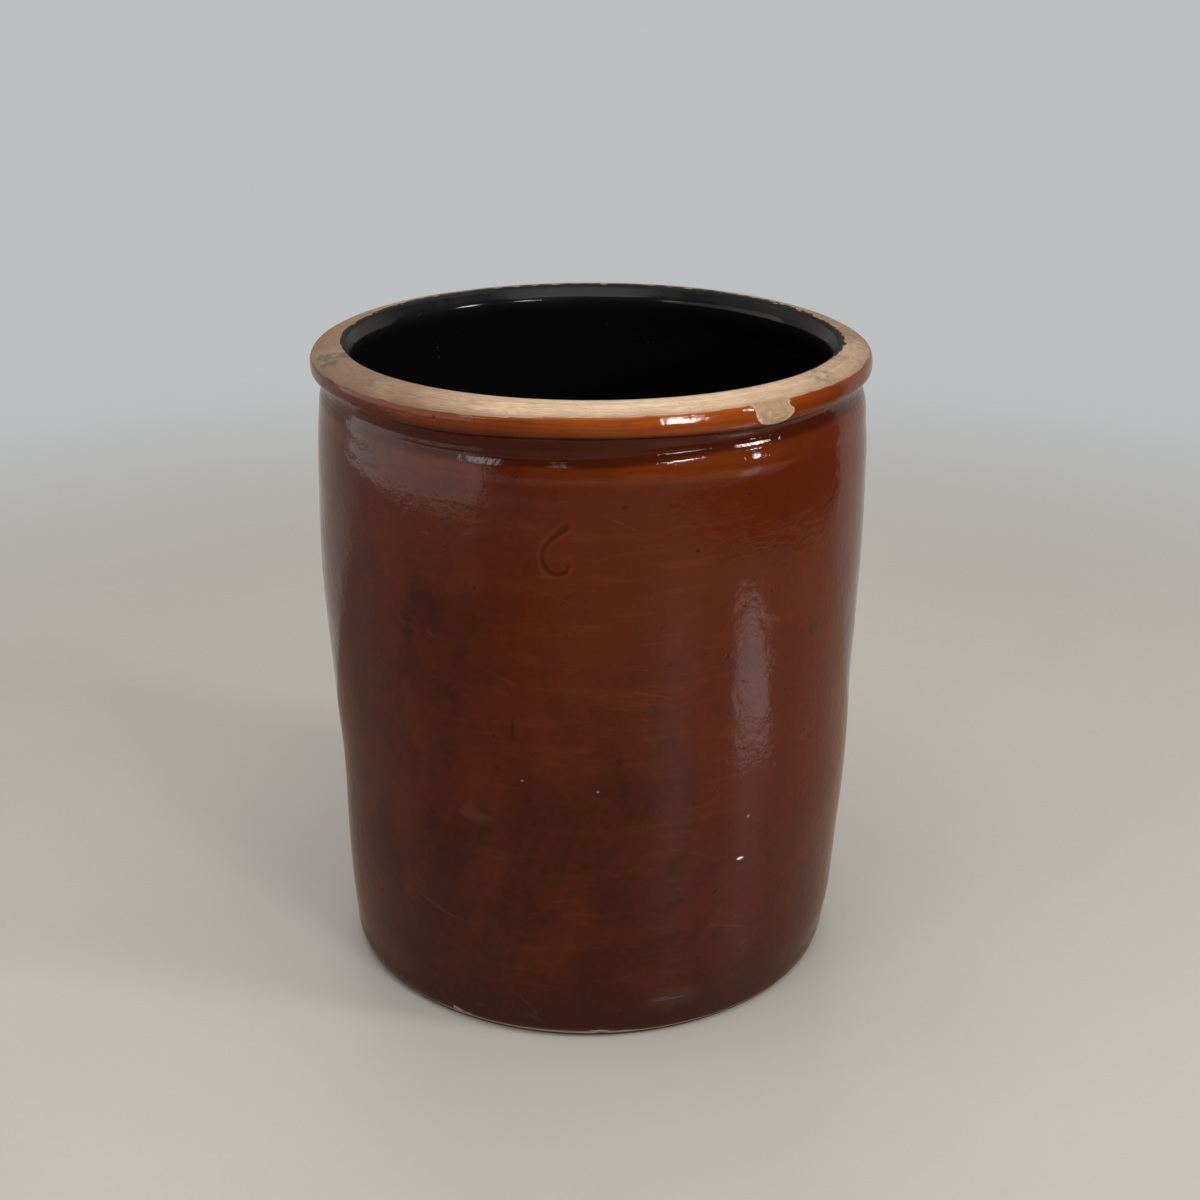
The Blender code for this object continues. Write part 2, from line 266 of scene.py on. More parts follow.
class CrockFinishes(bpy.types.PropertyGroup):
    """Colours and gloss of the clay and the glazes."""

    clay: colour("Clay", (0.58, 0.385, 0.235), "Bare fired stoneware")
    clay_pale: colour("Pale clay", (0.74, 0.55, 0.36), "Where the rim is rubbed clean")
    # the stained colour serves real stains, and also the painted shade on the rim's sides
    clay_stain_and_shade: colour("Stained clay", (0.235, 0.138, 0.080), "Where vapour and dirt stained the clay")
    clay_dirt: colour("Dirt", (0.12, 0.09, 0.07), "Grime on the rim")
    brown: colour("Brown glaze", (0.075, 0.0104, 0.0018), "The brown glaze on the wall")
    # the thin brown serves thin glaze over edges, and also painted light on the collar's upper face
    brown_thin_and_lit: colour("Thin brown", (0.27, 0.058, 0.0065), "Where the brown glaze runs thin over an edge")
    # the thick brown serves thick glaze, and also painted shade on the left and in the groove under the
    # collar
    brown_thick_and_shade: colour("Thick brown", (0.036, 0.0055, 0.0017), "Where it is thick or fired dark")
    brown_foot: colour("Brown at the foot", (0.021, 0.0050, 0.0024), "The brown glaze just above the foot")
    black: colour("Black glaze", (0.0030, 0.0030, 0.0034), "The glaze inside")
    black_worn: colour("Worn black", (0.016, 0.015, 0.014), "Where the black glaze is rubbed matt")
    brown_roughness: share("Brown roughness", 0.05, "Roughness of the clean brown glaze")
    black_roughness: share("Black roughness", 0.06, "Roughness of the clean black glaze")
    clay_roughness: share("Clay roughness", 0.82, "Roughness of the bare clay")


class CrockStage(bpy.types.PropertyGroup):
    """The floor, the lamps and the camera."""

    floor: colour("Floor", (0.46, 0.425, 0.38), "The pale floor")
    floor_mirrored: colour("Mirrored floor", (0.40, 0.29, 0.21), "What the gloss sees of the near floor")
    backdrop: colour("Backdrop", (0.50, 0.52, 0.525), "What the camera sees past the floor")
    backdrop_mirrored: colour("Mirrored backdrop", (0.46, 0.425, 0.39), "What the gloss sees at the back")
    room: colour("Room", (0.045, 0.045, 0.048), "What the gloss sees on the camera's side of the room")
    world_strength: FloatProperty(
        name="Ambient light", default=0.28, description="Strength of the even light"
    )
    camera_place: FloatVectorProperty(
        name="Camera", default=(0.0032, -0.6641, 0.4020), description="Where the camera stands",
        subtype="TRANSLATION", unit="LENGTH",
    )
    camera_tilt: turn("Camera tilt", 68.45, "From straight down")
    lens: FloatProperty(name="Lens", default=53.6, description="Focal length", subtype="DISTANCE_CAMERA")


# Shapes as arrays


def band(value, zero, one):
    """0 up to the first limit and 1 from the second on, with the smooth step 3v^2 - 2v^3 between."""
    inside = np.clip((value - zero) / (one - zero), 0.0, 1.0)
    return inside * inside * (3 - 2 * inside)


def bump(value, centre, width):
    """A bell of height 1: exp(-((value - centre) / width)^2)."""
    return np.exp(-(((value - centre) / width) ** 2))


def crowded(start, stop, count, crowds, cyclic=False):
    """Places from start to stop that crowd together between given limits.

    The density is 1 plus the gain of each crowd (low, high, gain, margin), eased in and out over its margin,
    and the places are equal steps of the density's running total. Cyclic places leave out the last one.
    """
    fine = np.linspace(start, stop, 6001)
    density = np.ones_like(fine)
    for low, high, gain, margin in crowds:
        density += gain * band(fine, low - margin, low) * band(fine, high + margin, high)
    total = np.concatenate(([0.0], np.cumsum((density[1:] + density[:-1]) / 2)))
    steps = np.linspace(0.0, total[-1], count, endpoint=not cyclic)
    return np.interp(steps, total, fine)


def cubic(points, slopes, row, t, gap=1.0):
    """The cubic from point row to the next, which leaves each with its slope, at share t of the gap."""
    return (
        (2 * t**3 - 3 * t**2 + 1) * points[row] + (t**3 - 2 * t**2 + t) * gap * slopes[row]
        + (3 * t**2 - 2 * t**3) * points[row + 1] + (t**3 - t**2) * gap * slopes[row + 1]
    )


def arc(centre, radii, start, end, steps):
    """Points of an upright ellipse as rows (radius, height), with both ends. Degrees are from +X."""
    angles = np.radians(np.linspace(start, end, steps + 1))
    return np.stack((centre[0] + radii[0] * np.cos(angles), centre[1] + radii[1] * np.sin(angles)), 1)


def control_points(sizes):
    """The outline's points, and the row numbers where a glaze or the bend of the foot ends.

    They are the solids' own, but for the lip: there the wall slopes straight down to a tight corner, as it
    does in the photograph, within 0.6 mm of the solids' rounding.
    """
    top = sizes.height
    belly = sizes.collar_radius - sizes.collar_overhang
    heel = belly - sizes.belly_swell
    base = heel - sizes.heel_rounding
    neck = sizes.collar_radius - sizes.neck_depth
    shoulder = belly - sizes.shoulder_draw_in
    rim_inner = sizes.collar_radius - sizes.rim_width
    face_edge = sizes.collar_radius - sizes.collar_rounding
    face_top = top - sizes.brown_edge_drop
    face_foot = top - sizes.collar_height
    shoulder_z = face_foot - sizes.groove_height
    belly_share = 0.78
    belly_z = sizes.heel_height + belly_share * (shoulder_z - sizes.heel_height)
    lip_z = top - sizes.lip_depth
    throat_z = lip_z - sizes.throat_height
    corner_z = sizes.base_thickness + sizes.floor_corner_radius

    def wall(height):
        """Below the belly, the heel plus swell x share^0.65; above it, the belly less draw-in x share^2."""
        low = np.clip((height - sizes.heel_height) / (belly_z - sizes.heel_height), 0, 1)
        high = np.clip((height - belly_z) / (shoulder_z - belly_z), 0, None)
        return heel + sizes.belly_swell * low**0.65 - sizes.shoulder_draw_in * high**2

    corner = (wall(corner_z) - sizes.wall_thickness - sizes.floor_corner_radius, corner_z)
    inner_z = corner_z + np.array((0.22, 0.6, 1.0)) * (throat_z - corner_z)
    inner = np.stack((wall(inner_z) - sizes.wall_thickness, inner_z), 1)
    throat = np.array((1 / 3, 2 / 3))
    narrowest = rim_inner - sizes.lip_projection
    throat_r = inner[-1, 0] + (narrowest - inner[-1, 0]) * (1 - np.cos(math.pi * throat)) / 2
    black_share = sizes.black_edge_width / sizes.lip_projection
    black_drop = 1 - math.sqrt(1 - black_share**2)
    across = np.array((1.0, 1.0, 0.985, 0.91, 0.76, 0.55, 0.34, black_share))
    down = np.array((1.0, 0.82, 0.70, 0.585, 0.46, 0.30, 0.14, black_drop))
    inside = [
        arc(corner, (sizes.floor_corner_radius,) * 2, -90, 0, 4),
        inner,
        np.stack((throat_r, throat_z + throat * (lip_z - throat_z)), 1),
        np.stack((rim_inner - across * sizes.lip_projection, top - down * sizes.lip_depth), 1),
    ]

    level_out = rim_inner + sizes.rim_flat_width
    slope = np.array((0.4, 0.75))
    slope_r = level_out + slope * (face_edge - level_out)
    rim = [
        np.array(((rim_inner, top), (level_out, top))),
        np.stack((slope_r, top + slope**2 * (face_top - top)), 1),
    ]

    down, inwards = np.array(((0, 1), (0.22, 0.28), (0.5, 0.0), (0.86, 0.3), (1.0, 1.0))).T
    face_r = sizes.collar_radius - sizes.collar_rounding * inwards
    face = np.stack((face_r, face_top + down * (face_foot - face_top)), 1)
    down, outwards = np.array(((0.12, 0.26), (0.3, 0.05), (0.5, 0.0))).T
    groove = np.stack((neck + outwards * (face_edge - neck), face_foot - down * sizes.groove_height), 1)
    down, outwards = np.array(((0.78, 0.45), (1.0, 1.0))).T
    groove_foot = np.stack((neck + outwards * (shoulder - neck), face_foot - down * sizes.groove_height), 1)
    above = belly_z + np.array((0.72, 0.4, 0.0)) * (shoulder_z - belly_z)
    below = sizes.heel_height + np.array((0.64, 0.36, 0.16, 0.05)) * (belly_z - sizes.heel_height)
    wall_z = np.concatenate((above, below))
    outside = [face, groove, groove_foot, np.stack((wall(wall_z), wall_z), 1)]
    foot_angle = -math.degrees(math.asin(1 - sizes.foot_bare_height / sizes.heel_height))
    bend = ((base, sizes.heel_height), (sizes.heel_rounding, sizes.heel_height))
    foot = [arc(*bend, 0, foot_angle, 2), arc(*bend, foot_angle, -90, 2)[1:]]

    black_edge = sum(map(len, inside)) - 1
    brown_edge = black_edge + 1 + sum(map(len, rim))
    foot_edge = brown_edge + sum(map(len, outside)) + len(foot[0]) - 1
    return np.concatenate(inside + rim + outside + foot), (black_edge, brown_edge, foot_edge)


def smooth_outline(sizes):
    """The finished outline as closely spaced places, with the way out of the pot and the distance along it.

    Between two control points it is a cubic that leaves each with the slope of the parabola through its two
    neighbours. The floor and the underside are straight, and the rim is cut level at the pot's height.
    """
    flat_steps, bent_steps = 800, 9001
    points, marks = control_points(sizes)
    steps = np.linalg.norm(np.diff(points, axis=0), axis=1)
    along = np.concatenate(([0.0], np.cumsum(steps)))
    chords = np.diff(points, axis=0) / steps[:, None]
    before, after = steps[:-1, None], steps[1:, None]
    slopes = (chords[:-1] * after + chords[1:] * before) / (before + after)
    slopes = np.concatenate(([[1.0, 0.0]], slopes, [[-1.0, 0.0]]))
    fine = np.linspace(0.0, along[-1], bent_steps)
    row = np.clip(np.searchsorted(along, fine, side="right") - 1, 0, len(steps) - 1)
    gap = steps[row]
    curve = cubic(points, slopes, row, ((fine - along[row]) / gap)[:, None], gap[:, None])
    floor_r = np.linspace(0, points[0, 0], flat_steps, endpoint=False)
    floor = np.stack((floor_r, np.full(flat_steps, points[0, 1])), 1)
    under = np.stack((np.linspace(points[-1, 0], 0, flat_steps + 1)[1:], np.zeros(flat_steps)), 1)
    curve = np.concatenate((floor, curve, under))
    curve[:, 0] = np.clip(curve[:, 0], 0.0, sizes.collar_radius)
    curve[:, 1] = np.clip(curve[:, 1], 0.0, sizes.height)
    far = np.concatenate(([0.0], np.cumsum(np.linalg.norm(np.diff(curve, axis=0), axis=1))))
    tangent = np.gradient(curve, far, axis=0)
    tangent /= np.linalg.norm(tangent, axis=1)[:, None]
    bent = far[flat_steps:flat_steps + bent_steps]
    at = [float(np.interp(along[mark], fine, bent)) for mark in marks]
    return SimpleNamespace(
        s=far, r=curve[:, 0], z=curve[:, 1], out_r=-tangent[:, 1], out_z=tangent[:, 0],
        black_edge=at[0], brown_edge=at[1], foot_edge=at[2],
    )


def waves(seed, phi, height, count, turns, wavelength):
    """Random dents that close up round the pot: a sum of cosines of (turns x PHI + 2 pi height / length).

    It is divided by the root of half their number, so that its typical size is 1.
    """
    dice = np.random.default_rng(seed)
    total = np.zeros(np.broadcast(phi, height).shape)
    for _ in range(count):
        around = dice.integers(0, turns + 1)
        upward = dice.uniform(-1, 1) * math.tau / wavelength
        total += np.cos(around * phi + upward * height + dice.uniform(0, math.tau))
    return total / math.sqrt(count / 2)


def swollen(degrees, up, swells):
    """A table's swells added up, in millimetres: size x a bell round the pot x a bell in height."""
    return sum(
        out * bump(degrees, at, spread) * bump(up, level, reach) for out, at, spread, level, reach in swells
    )


def as_thrown(surface, phi, radius, height):
    """Where a place of the perfect pot really is, as x, y and z.

    The wall sits off its axis by a few tenths of a millimetre to a millimetre, has dents and swells, a
    slightly wandering groove, a soft ring under the shoulder, and spiral rings inside. Above the groove it
    runs true, so the collar and the rim keep their size. Swells are worked out in degrees and millimetres.
    """
    degrees, up, seed = np.degrees(phi), height / MM, surface.seed
    outer = band(radius, 0.0965, 0.0995)
    dents = waves(seed, phi, height, 14, 3, 0.07) + 0.25 * waves(seed + 1, phi, height, 14, 9, 0.022)
    dents = surface.unevenness * band(up, 224, 204) * dents

    ring = (0.22 * bump(up, SHOULDER, 2.8) + 0.10 * bump(up, 220.7, 0.5)) * band(degrees, -26, -18)
    hollow = 0.45 * bump(up, SHOULDER, 5.0) * band(degrees, -12, -20)
    narrow = 0.34 * bump(up, GROOVE, 1.1) * band(degrees, 27, 21) * band(degrees, -48, -34)
    lump = 0.95 * bump(degrees, 33, 8.0) * bump(up, SHOULDER - 0.3 + 0.4 * np.cos(degrees / 1.3), 1.9)
    wheel_marks = 0.04 * np.cos(math.tau * up / 1.8 + 0.9 * waves(seed + 3, phi, height, 6, 2, 0.05))
    wheel_marks = wheel_marks * band(up, 216.5, 220.5) * band(up, 236.5, 234.5)
    heavy_foot = swollen(degrees, up, FOOT_SWELLS)
    outside = outer * (ring - hollow - narrow + lump + wheel_marks + heavy_foot)
    flat = -0.32 * bump(up, COLLAR_MIDDLE, 1.2) * band(degrees, 7, 10) * band(degrees, 25, 21)
    oval = -1.4 * bump(degrees, 125, 28) * band(up, 232, 238)
    out = dents + MM * (swollen(degrees, up, SWELLS) + outside + flat + oval)

    rings = 0.5 * surface.ring_depth * (1 - outer) * band(up, 228, 208) * band(radius, 0.01, 0.04)
    wander = 0.8 * waves(seed + 2, phi, height, 5, 2, 0.1)
    spiral = rings * np.cos(math.tau * (height + 0.6 * radius) / 0.0085 - phi + wander)
    floor_ring = spiral * (1 - band(up, 12, 18)) * band(up, 6, 9)
    true_radius = radius + out * band(radius, 0, 0.02) + spiral * band(up, 20, 30)

    collar_dip = 1.1 * bump(degrees, -30, 16) + 0.9 * bump(degrees, 33, 16) + 0.3
    groove_dip = 2.6 * band(degrees, 26, -14) * band(degrees, -75, -35) + 0.4
    dip = collar_dip * band(up, 243.5, 237.5) * band(up, 230, 236)
    dip = MM * outer * (dip + groove_dip * band(up, 236, 230) * band(up, 212, 224))
    off_axis = MM * sum(away * bump(up, level, reach) for away, level, reach in WANDER)
    x = true_radius * np.sin(phi) + off_axis
    y = -true_radius * np.cos(phi)
    return np.stack((x, y, np.clip(height - dip + floor_ring, 0, CAD_HEIGHT)), -1)


def placed(line, s, offset):
    """Radius and height of places at distance s along the outline, lifted out of the pot by the offset."""
    radius = np.interp(s, line.s, line.r) + offset * np.interp(s, line.s, line.out_r)
    height = np.interp(s, line.s, line.z) + offset * np.interp(s, line.s, line.out_z)
    return np.maximum(radius, 0.0), height


def stroke_distance(u, v, stroke):
    """Shortest distance from each place to a bent line, and how far along the line that is, from 0 to 1."""
    here = np.stack((u, v), -1)[..., None, :]
    start, step = stroke[:-1], np.diff(stroke, axis=0)
    t = np.clip(((here - start) * step).sum(-1) / (step * step).sum(-1), 0, 1)
    away = np.linalg.norm(here - start - t[..., None] * step, axis=-1)
    nearest = away.argmin(-1)
    far = (nearest + np.take_along_axis(t, nearest[..., None], -1)[..., 0]) / len(step)
    return away.min(-1), far


def outline_distance(u, v, corners):
    """Distance from each place to a closed outline, less than 0 inside it, where crossings are odd."""
    closed = np.concatenate((corners, corners[:1]))
    away, _ = stroke_distance(u, v, closed)
    x0, y0 = closed[:-1, 0], closed[:-1, 1]
    x1, y1 = closed[1:, 0], closed[1:, 1]
    spans = (y0 > v[..., None]) != (y1 > v[..., None])
    rise = np.where(y1 == y0, 1e-12, y1 - y0)
    crossing = x0 + (v[..., None] - y0) / rise * (x1 - x0)
    inside = (spans & (u[..., None] < crossing)).sum(-1) % 2 == 1
    return np.where(inside, -away, away)


def digit_stroke(height):
    """A plain six as one stroke: a slanting stem from the upper right, and an open bowl below it.

    The stroke goes smoothly through its places, by cubics whose slope at each place is that of the line
    between its neighbours.
    """
    places = height * np.array(NUMBER_SHARES)
    at = np.linspace(0, len(places) - 1, 49)
    row = np.minimum(at.astype(int), len(places) - 2)
    return cubic(places, np.gradient(places, axis=0), row, (at - row)[:, None])


def number_relief(surface, phi, height):
    """Depth of the incised number: a bell across the stroke, fat where it starts, with a burr outside."""
    u = (phi - surface.number_angle) * ROUND
    v = height - NUMBER_MIDDLE
    near = (np.abs(u) < 0.0085) & (np.abs(v) < 0.0125)
    relief, groove, burr = np.zeros(u.shape), np.zeros(u.shape), np.zeros(u.shape)
    away, along = stroke_distance(u[near], v[near], digit_stroke(surface.number_height))
    width = (0.55 + 0.40 * band(along, 0.22, 0)) * MM
    fade = band(along, -0.01, 0.01) * band(along, 1.025, 0.925)
    cut = fade * bump(away, 0.0, width)
    from_bowl = np.hypot(u[near], v[near] + 0.2 * surface.number_height)
    outside = 0.35 + 0.65 * band(from_bowl, 0.0046, 0.0058)
    ridge = fade * outside * bump(away, width + 0.85 * MM, 0.42 * MM)
    relief[near] = surface.number_depth * (0.60 * ridge - cut)
    groove[near] = cut
    burr[near] = ridge
    return relief, groove, burr


def brown_edges(surface, line, phi, s):
    """Distances in from the brown glaze's upper and lower edges and out of the chip, in metres."""
    degrees, seed = np.degrees(phi), surface.seed
    drop = 1.4 * band(degrees, -2, -24) + 0.8 * band(degrees, -70, -88) - 1.2 * band(degrees, -95, -135)
    drop += 0.3 * bump(degrees, 20, 3.5) + 1.2 * bump(degrees, 140, 20)
    drop += 0.13 * waves(seed + 5, phi, 0 * s, 16, 40, 1.0) + 0.05 * waves(seed + 6, phi, s, 10, 120, 0.006)
    upper = s - line.brown_edge - drop * MM
    rise = 0.4 + 0.16 * waves(seed + 7, phi, 0 * s, 14, 30, 1.0)
    rise += 0.7 * band(degrees, -52, -38) * band(degrees, 34, 4)
    rise += 0.5 * band(degrees, -14, -8) * band(degrees, 2.5, -0.5)
    rise += sum(high * bump(degrees, at, spread) for at, spread, high in FOOT_CHIPS)
    lower = line.foot_edge - rise * MM - s
    u = (phi - surface.chip_angle) * ROUND
    chip = np.full(s.shape, 0.02)
    near = (np.abs(u) < 0.013) & (np.abs(s - line.brown_edge) < 0.013)
    chip[near] = outline_distance(u[near], s[near] - line.brown_edge, np.array(CHIP_CORNERS) * MM)
    return upper, lower, chip


def glaze_edge(distance, bead):
    """Height of a glaze near its edge: it rises through the clay, swells into a bead, and settles to 0."""
    buried = np.maximum(distance * 0.9, -0.55 * MM)
    rounded = bead * (1 - np.exp(-np.maximum(distance, 0) / (0.14 * MM))) * bump(distance, 0.0, 2.4 * MM)
    return np.where(distance < 0, buried, rounded)


def black_edge_distance(surface, line, phi, s):
    """Distance in from the black glaze's edge, which reaches out at the back and, ragged, on the right."""
    degrees, seed = np.degrees(phi), surface.seed
    right = bump(degrees, 92, 22)
    left = band(degrees, -68, -98)
    back = band(np.abs(degrees), 98, 124)
    reach = np.maximum(np.maximum(1.6 * right, 1.4 * left), 2.9 * back)
    reach = reach + 0.16 * waves(seed + 11, phi, 0 * s, 12, 40, 1.0)
    reach = reach + (0.42 * right + 0.26 * back + 0.06) * waves(seed + 12, phi, s, 12, 150, 0.004)
    worn = band(waves(seed + 13, phi, s, 16, 110, 0.0024), 0.8, 1.8)
    worn = worn * bump(s, line.black_edge + 0.0022, 0.0022) * np.maximum(back, 0.8 * left)
    return line.black_edge + (reach - 3.4 * worn) * MM - s


def clay_level(surface, line, phi, s):
    """The clay's height: 0 where bare, well below a glaze that covers it, and scooped out in the chip."""
    upper, lower, chip = brown_edges(surface, line, phi, s)
    under_black = band(black_edge_distance(surface, line, phi, s), 0.0004, 0.0020)
    beside_black = 0.09 * bump(s, line.black_edge, 0.0030)
    under_brown = band(upper, 0.0012, 0.0028) * band(lower, 0.0014, 0.0032)
    number = 1.2 * bump(phi, surface.number_angle, 0.16) * bump(s, line.number, 0.022)
    level = -MM * (0.5 * np.maximum(under_black, under_brown) + number + beside_black)
    rough = 0.08 * MM * waves(surface.seed + 21, phi, s, 16, 260, 0.0022)
    below_edge = band(s - line.brown_edge, -0.0010, 0.0006)
    scoop = (surface.chip_depth + rough) * band(chip, 0.0002, -0.0008) * below_edge
    brim = 0.0006
    scooped = np.minimum(-scoop, level * band(chip, 0, brim))
    return np.where(chip < brim, scooped, level), scoop / surface.chip_depth


# Meshes


def lathe(name, grid, poles, attributes, finish):
    """A mesh over places grid[column, row]: columns close round the pot, and rows run along its profile.

    With poles, the first and the last row lie on the axis and each becomes one point, closed by a fan of
    triangles. Without, the last row joins the first.
    """
    columns, rows = grid.shape[:2]
    inner_rows = rows - 2 if poles else rows
    here = np.arange(columns)
    beside = (here + 1) % columns
    row = np.arange(inner_rows - 1 if poles else rows)
    below = (row + 1) % inner_rows
    left, right = here[:, None] * inner_rows, beside[:, None] * inner_rows
    faces = np.stack((left + row, left + below, right + below, right + row), -1).reshape(-1, 4).tolist()
    if poles:
        first, last = columns * inner_rows, columns * inner_rows + 1
        start, end = here * inner_rows, beside * inner_rows
        faces += np.stack((np.full(columns, first), start, end), -1).tolist()
        start, end = start + inner_rows - 1, end + inner_rows - 1
        faces += np.stack((start, np.full(columns, last), end), -1).tolist()

    def in_order(values):
        """One row for each point of the mesh: the rings, then the two poles."""
        if not poles:
            return values.reshape(columns * rows, -1)
        ring = values[:, 1:-1].reshape(columns * inner_rows, -1)
        return np.concatenate((ring, values[0, :1].reshape(1, -1), values[0, -1:].reshape(1, -1)))

    mesh = bpy.data.meshes.new(name)
    mesh.from_pydata(in_order(grid).tolist(), [], faces)
    for label, values in attributes.items():
        mask = mesh.attributes.new(label, "FLOAT", "POINT")
        mask.data.foreach_set("value", np.ascontiguousarray(in_order(values).ravel(), dtype=np.float32))
    mesh.shade_smooth()
    mesh.update()
    mesh.materials.append(finish)
    piece = bpy.data.objects.new(name, mesh)
    bpy.context.scene.collection.objects.link(piece)
    return piece


def outline_for(scene):
    """The finished outline, with the number's place along it."""
    line = smooth_outline(scene.crock_sizes)
    outside = line.s > line.brown_edge
    line.number = float(np.interp(-NUMBER_MIDDLE, -line.z[outside], line.s[outside]))
    return line


def columns_round(count, crowds):
    """Angles round the pot, from the back, by way of -X, the front and +X, with crowds given in degrees."""
    limits = [tuple(np.radians(crowd[:2])) + (crowd[2], math.radians(crowd[3])) for crowd in crowds]
    return crowded(-math.pi, math.pi, count, limits, cyclic=True)[:, None]


def backed(surface, line, around, front, back_s):
    """A coat's front with its back: the outline sunk by the glaze's thickness, run the other way."""
    around, back_s = np.broadcast_arrays(around[:, :1], back_s[::-1])
    radius, height = placed(line, back_s, -surface.glaze_thickness)
    radius = np.where(back_s > 0, radius, 0.0)
    return np.concatenate((front, as_thrown(surface, around, radius, height)), 1)


def make_clay(context):
    """The clay: bare on the rim, in the chip, at the foot and underneath, and sunk under both glazes."""
    surface = context.scene.crock_surface
    line = outline_for(context.scene)
    crowds = (
        (line.black_edge - 0.004, line.brown_edge + 0.011, 14.0, 0.004),
        (line.foot_edge - 0.006, line.foot_edge + 0.006, 9.0, 0.004),
    )
    columns = columns_round(400, (FRONT, CHIP_SIDE, FOOT_CHIP_SIDE))
    phi, s = np.broadcast_arrays(columns, crowded(0.0, line.s[-1], 200, crowds))
    level, scoop = clay_level(surface, line, phi, s)
    radius, height = placed(line, s, level)
    radius = np.minimum(radius, CAD_RADIUS - surface.glaze_bead)
    radius[:, (0, -1)] = 0.0
    upper, lower, _ = brown_edges(surface, line, phi, s)
    masks = {
        "beside_brown": bump(upper, 0.0, 0.0011) + bump(lower, 0.0, 0.0010),
        "beside_black": bump(s - line.black_edge, 0.0, 0.0012),
        "chip": np.clip(scoop, 0, 1),
    }
    grid = as_thrown(surface, phi, radius, height)
    clay = lathe("clay_body", grid, True, masks, bare_stoneware(context.scene.crock_finishes))
    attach(clay, BODY)
    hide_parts("stoneware_body")
    return clay


def make_brown_coat(context):
    """The brown glaze: a closed coat from the rim's outer slope to the foot, its ends under the clay."""
    surface = context.scene.crock_surface
    line = outline_for(context.scene)
    start, end = line.brown_edge - 0.0018, line.foot_edge + 0.0012
    crowds = (
        (start, line.brown_edge + 0.017, 3.2, 0.004),
        (line.number - 0.0115, line.number + 0.0115, 5.5, 0.003),
        (line.foot_edge - 0.006, end, 2.2, 0.004),
    )
    columns = columns_round(376, (FRONT, CHIP_SIDE, NUMBER_SIDE))
    around, s = np.broadcast_arrays(columns, crowded(start, end, 216, crowds))
    upper, lower, chip = brown_edges(surface, line, around, s)
    level = glaze_edge(np.minimum(upper, lower), surface.glaze_bead)
    broken = np.clip(chip - surface.chip_depth, -0.8 * MM, 0.0)
    level = np.minimum(level, np.where(chip < 0.0015, broken, level))
    _, height = placed(line, s, 0.0)
    relief, groove, burr = number_relief(surface, around, height)
    radius, height = placed(line, s, level + relief)
    front = as_thrown(surface, around, np.minimum(radius, CAD_RADIUS), height)
    bends = ((start, line.brown_edge + 0.022, 7.0, 0.01), (line.foot_edge - 0.006, end, 3.0, 0.01))
    back_s = crowded(start, end, 40, bends)
    grid = backed(surface, line, around, front, back_s)
    thin = np.maximum(bump(upper, 0.0, 0.0016), bump(lower, 0.0, 0.0012))
    masks = {"thin": np.maximum(thin, 0.6 * bump(chip, 0.0, 0.0005)), "groove": groove, "burr": burr}
    masks = {label: np.pad(mask, ((0, 0), (0, len(back_s)))) for label, mask in masks.items()}
    coat = lathe("brown_glaze_coat", grid, False, masks, brown_glaze(context.scene.crock_finishes))
    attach(coat, BODY)
    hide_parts("outer_brown_glaze")
    return coat


def make_black_lining(context):
    """The black glaze: a closed lining from the floor's middle to just under the rim's top, and back."""
    surface = context.scene.crock_surface
    line = outline_for(context.scene)
    end = line.black_edge + 0.0052
    columns = columns_round(640, (RIGHT_SIDE,))
    around, s = np.broadcast_arrays(columns, crowded(0.0, end, 112, ((end - 0.013, end, 7.0, 0.006),)))
    distance = black_edge_distance(surface, line, around, s)
    bead = surface.glaze_bead * band(s - line.black_edge, 0.00075, 0.00025)
    radius, height = placed(line, s, glaze_edge(distance, bead))
    radius[:, 0] = 0.0
    front = as_thrown(surface, around, radius, np.minimum(height, CAD_HEIGHT))
    bends = ((end - 0.035, end, 5.0, 0.01), (0.074, 0.106, 5.0, 0.01))
    back_s = crowded(0.0, end, 34, bends)
    grid = backed(surface, line, around, front, back_s)
    masks = {"thin": np.pad(bump(distance, 0.0, 0.0014), ((0, 0), (0, len(back_s))))}
    lining = lathe("black_glaze_lining", grid, True, masks, black_glaze(context.scene.crock_finishes))
    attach(lining, BODY)
    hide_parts("inner_black_glaze")
    return lining


# Materials


def rgba(values):
    """A colour with full alpha, or a socket as it is."""
    return values if isinstance(values, bpy.types.NodeSocket) else (*values, 1.0)


